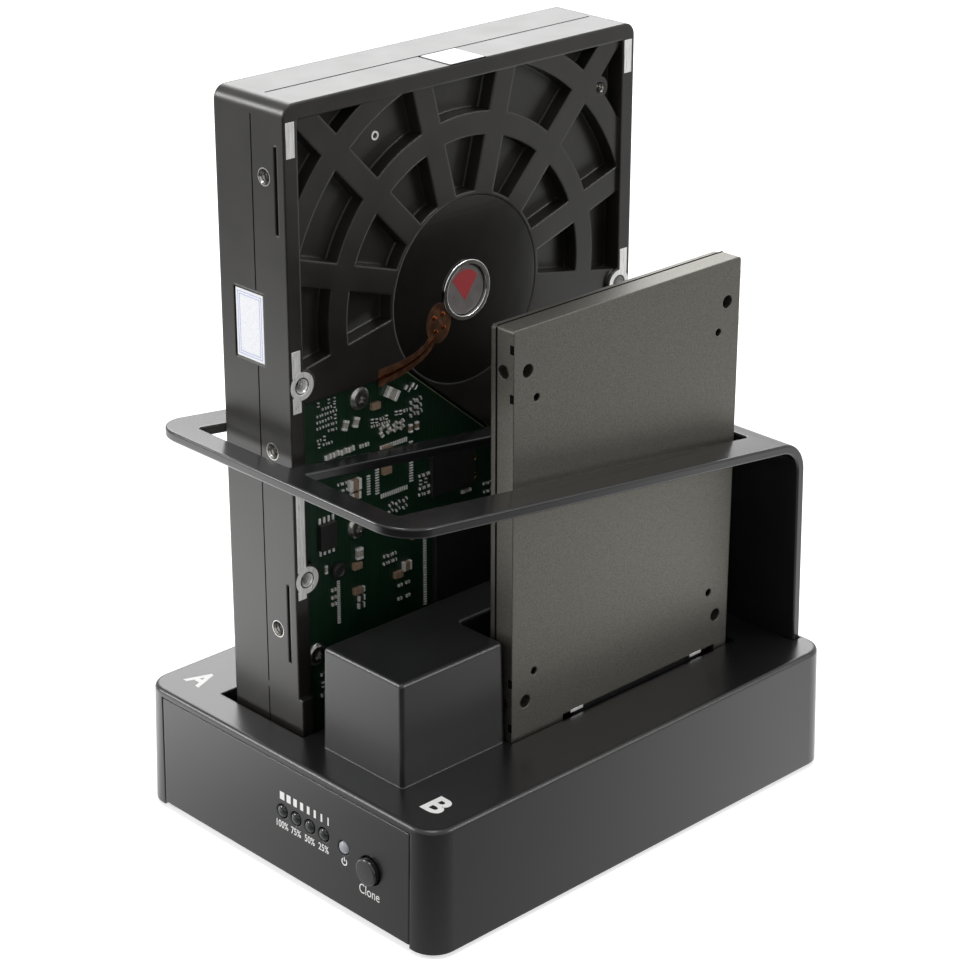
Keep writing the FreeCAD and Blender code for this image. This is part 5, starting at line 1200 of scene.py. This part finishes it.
class DUPLICATOR_OT_set_stage(bpy.types.Operator):
    """Lay the floor, light it and place the camera."""
    bl_idname = "duplicator.set_stage"
    bl_label = "Set stage"

    def execute(self, context):
        stage = context.scene.duplicator_stage
        context.scene.view_settings.view_transform = "Standard"
        self.lay_floor(stage)
        self.light_world(context.scene, stage)
        # name, place, height aimed at, width, height, watts
        soft_lamp("lamp_back", (-1.5, 1.35, 1.15), 0.1, 1.6, 1.0, 22.0)
        soft_lamp("lamp_front_left", (-1.25, -1.15, 0.75), 0.08, 0.5, 0.5, 15.0)
        soft_lamp("lamp_right", (1.4, 0.9, 0.8), 0.08, 0.5, 0.5, 9.0)
        soft_lamp("lamp_top", (0.1, -0.2, 1.6), 0.1, 0.5, 0.5, 8.0)
        self.place_camera(context.scene, stage)
        return {"FINISHED"}

    def lay_floor(self, stage):
        """A wide sheet just under the feet that looks white and keeps the shadow."""
        mesh = bpy.data.meshes.new("floor_sheet")
        reach, under, lift_to_white = 6.0, -0.1 * MM, 0.55
        corners = [(x * reach, y * reach, under) for x, y in ((-1, -1), (1, -1), (1, 1), (-1, 1))]
        mesh.from_pydata(corners, [], [(0, 1, 2, 3)])
        floor = placed("floor_sheet", mesh)
        material = bpy.data.materials.new("white_paper_sweep")
        tree = bare_tree(material)
        paper = add(tree, "ShaderNodeBsdfDiffuse", inputs={"Color": (*stage.floor, 1.0)}).outputs[0]
        to_camera = add(tree, "ShaderNodeLightPath").outputs["Is Camera Ray"]
        white = add(tree, "ShaderNodeEmission",
                    inputs={"Strength": work(tree, "MULTIPLY", to_camera, lift_to_white)}).outputs[0]
        lit = add(tree, "ShaderNodeAddShader", inputs={0: paper, 1: white}).outputs[0]
        glow = add(tree, "ShaderNodeEmission", inputs={"Strength": floor_glow(tree)}).outputs[0]
        add(tree, "ShaderNodeOutputMaterial", inputs={"Surface": mix(tree, mirrored(tree), lit, glow)})
        mesh.materials.append(material)

    def light_world(self, scene, stage):
        """Even light; the background itself is white."""
        scene.world = bpy.data.worlds.new("studio")
        tree = bare_tree(scene.world)
        even, white = (add(tree, "ShaderNodeBackground",
                           inputs={"Color": (1, 1, 1, 1), "Strength": strength}).outputs[0]
                       for strength in (stage.world_light, 1.0))
        add(tree, "ShaderNodeOutputWorld", inputs={"Surface": mix(tree, seen_directly(tree), even, white)})

    def place_camera(self, scene, stage):
        """Looks at a point above the middle of the base."""
        data = bpy.data.cameras.new("camera")
        data.sensor_width = 36.0
        data.lens = stage.lens
        camera = placed("camera", data)
        across, rise = math.cos(stage.elevation), math.sin(stage.elevation)
        back = Vector((math.sin(stage.azimuth) * across, -math.cos(stage.azimuth) * across, rise))
        aim = Vector((0.0, -0.0019, 0.0752))
        camera.location = aim + back * stage.away
        camera.rotation_mode = "QUATERNION"
        upright = (-back).to_track_quat("-Z", "Y")
        camera.rotation_quaternion = upright @ Matrix.Rotation(stage.roll, 3, "Z").to_quaternion()
        scene.camera = camera


# ---- add-on ----

SETTINGS = {"duplicator_housing": DuplicatorHousing, "duplicator_drives": DuplicatorDrives,
            "duplicator_stage": DuplicatorStage}
OPERATORS = (DUPLICATOR_OT_dress_base, DUPLICATOR_OT_print_marks, DUPLICATOR_OT_dress_frame,
             DUPLICATOR_OT_dress_controls, DUPLICATOR_OT_dress_rear, DUPLICATOR_OT_dress_electronics,
             DUPLICATOR_OT_dress_large_drive, DUPLICATOR_OT_finish_casting, DUPLICATOR_OT_fit_board_parts,
             DUPLICATOR_OT_lay_flex, DUPLICATOR_OT_dress_small_drive, DUPLICATOR_OT_set_stage)


class DUPLICATOR_PT_sidebar(bpy.types.Panel):
    """Sizes, colours and steps of the drive duplicator."""
    bl_idname = "DUPLICATOR_PT_sidebar"
    bl_label = "Drive duplicator"
    bl_space_type = "VIEW_3D"
    bl_region_type = "UI"
    bl_category = "Duplicator"

    def draw(self, context):
        for place in SETTINGS:
            group = getattr(context.scene, place)
            box = self.layout.box()
            for name in group.__annotations__:
                box.prop(group, name)
        for step in OPERATORS:
            self.layout.operator(step.bl_idname)


CLASSES = (*SETTINGS.values(), *OPERATORS, DUPLICATOR_PT_sidebar)


def register():
    """Registers the classes and hangs the settings on the scene."""
    for made in CLASSES:
        bpy.utils.register_class(made)
    for place, group in SETTINGS.items():
        setattr(bpy.types.Scene, place, bpy.props.PointerProperty(type=group))


def unregister():
    """Takes the settings and classes away again."""
    for place in SETTINGS:
        delattr(bpy.types.Scene, place)
    for made in reversed(CLASSES):
        bpy.utils.unregister_class(made)


def main():
    """Dresses the whole duplicator."""
    register()
    for step in OPERATORS:
        getattr(bpy.ops.duplicator, step.bl_idname.split(".")[1])()


if __name__ == "__main__":
    main()
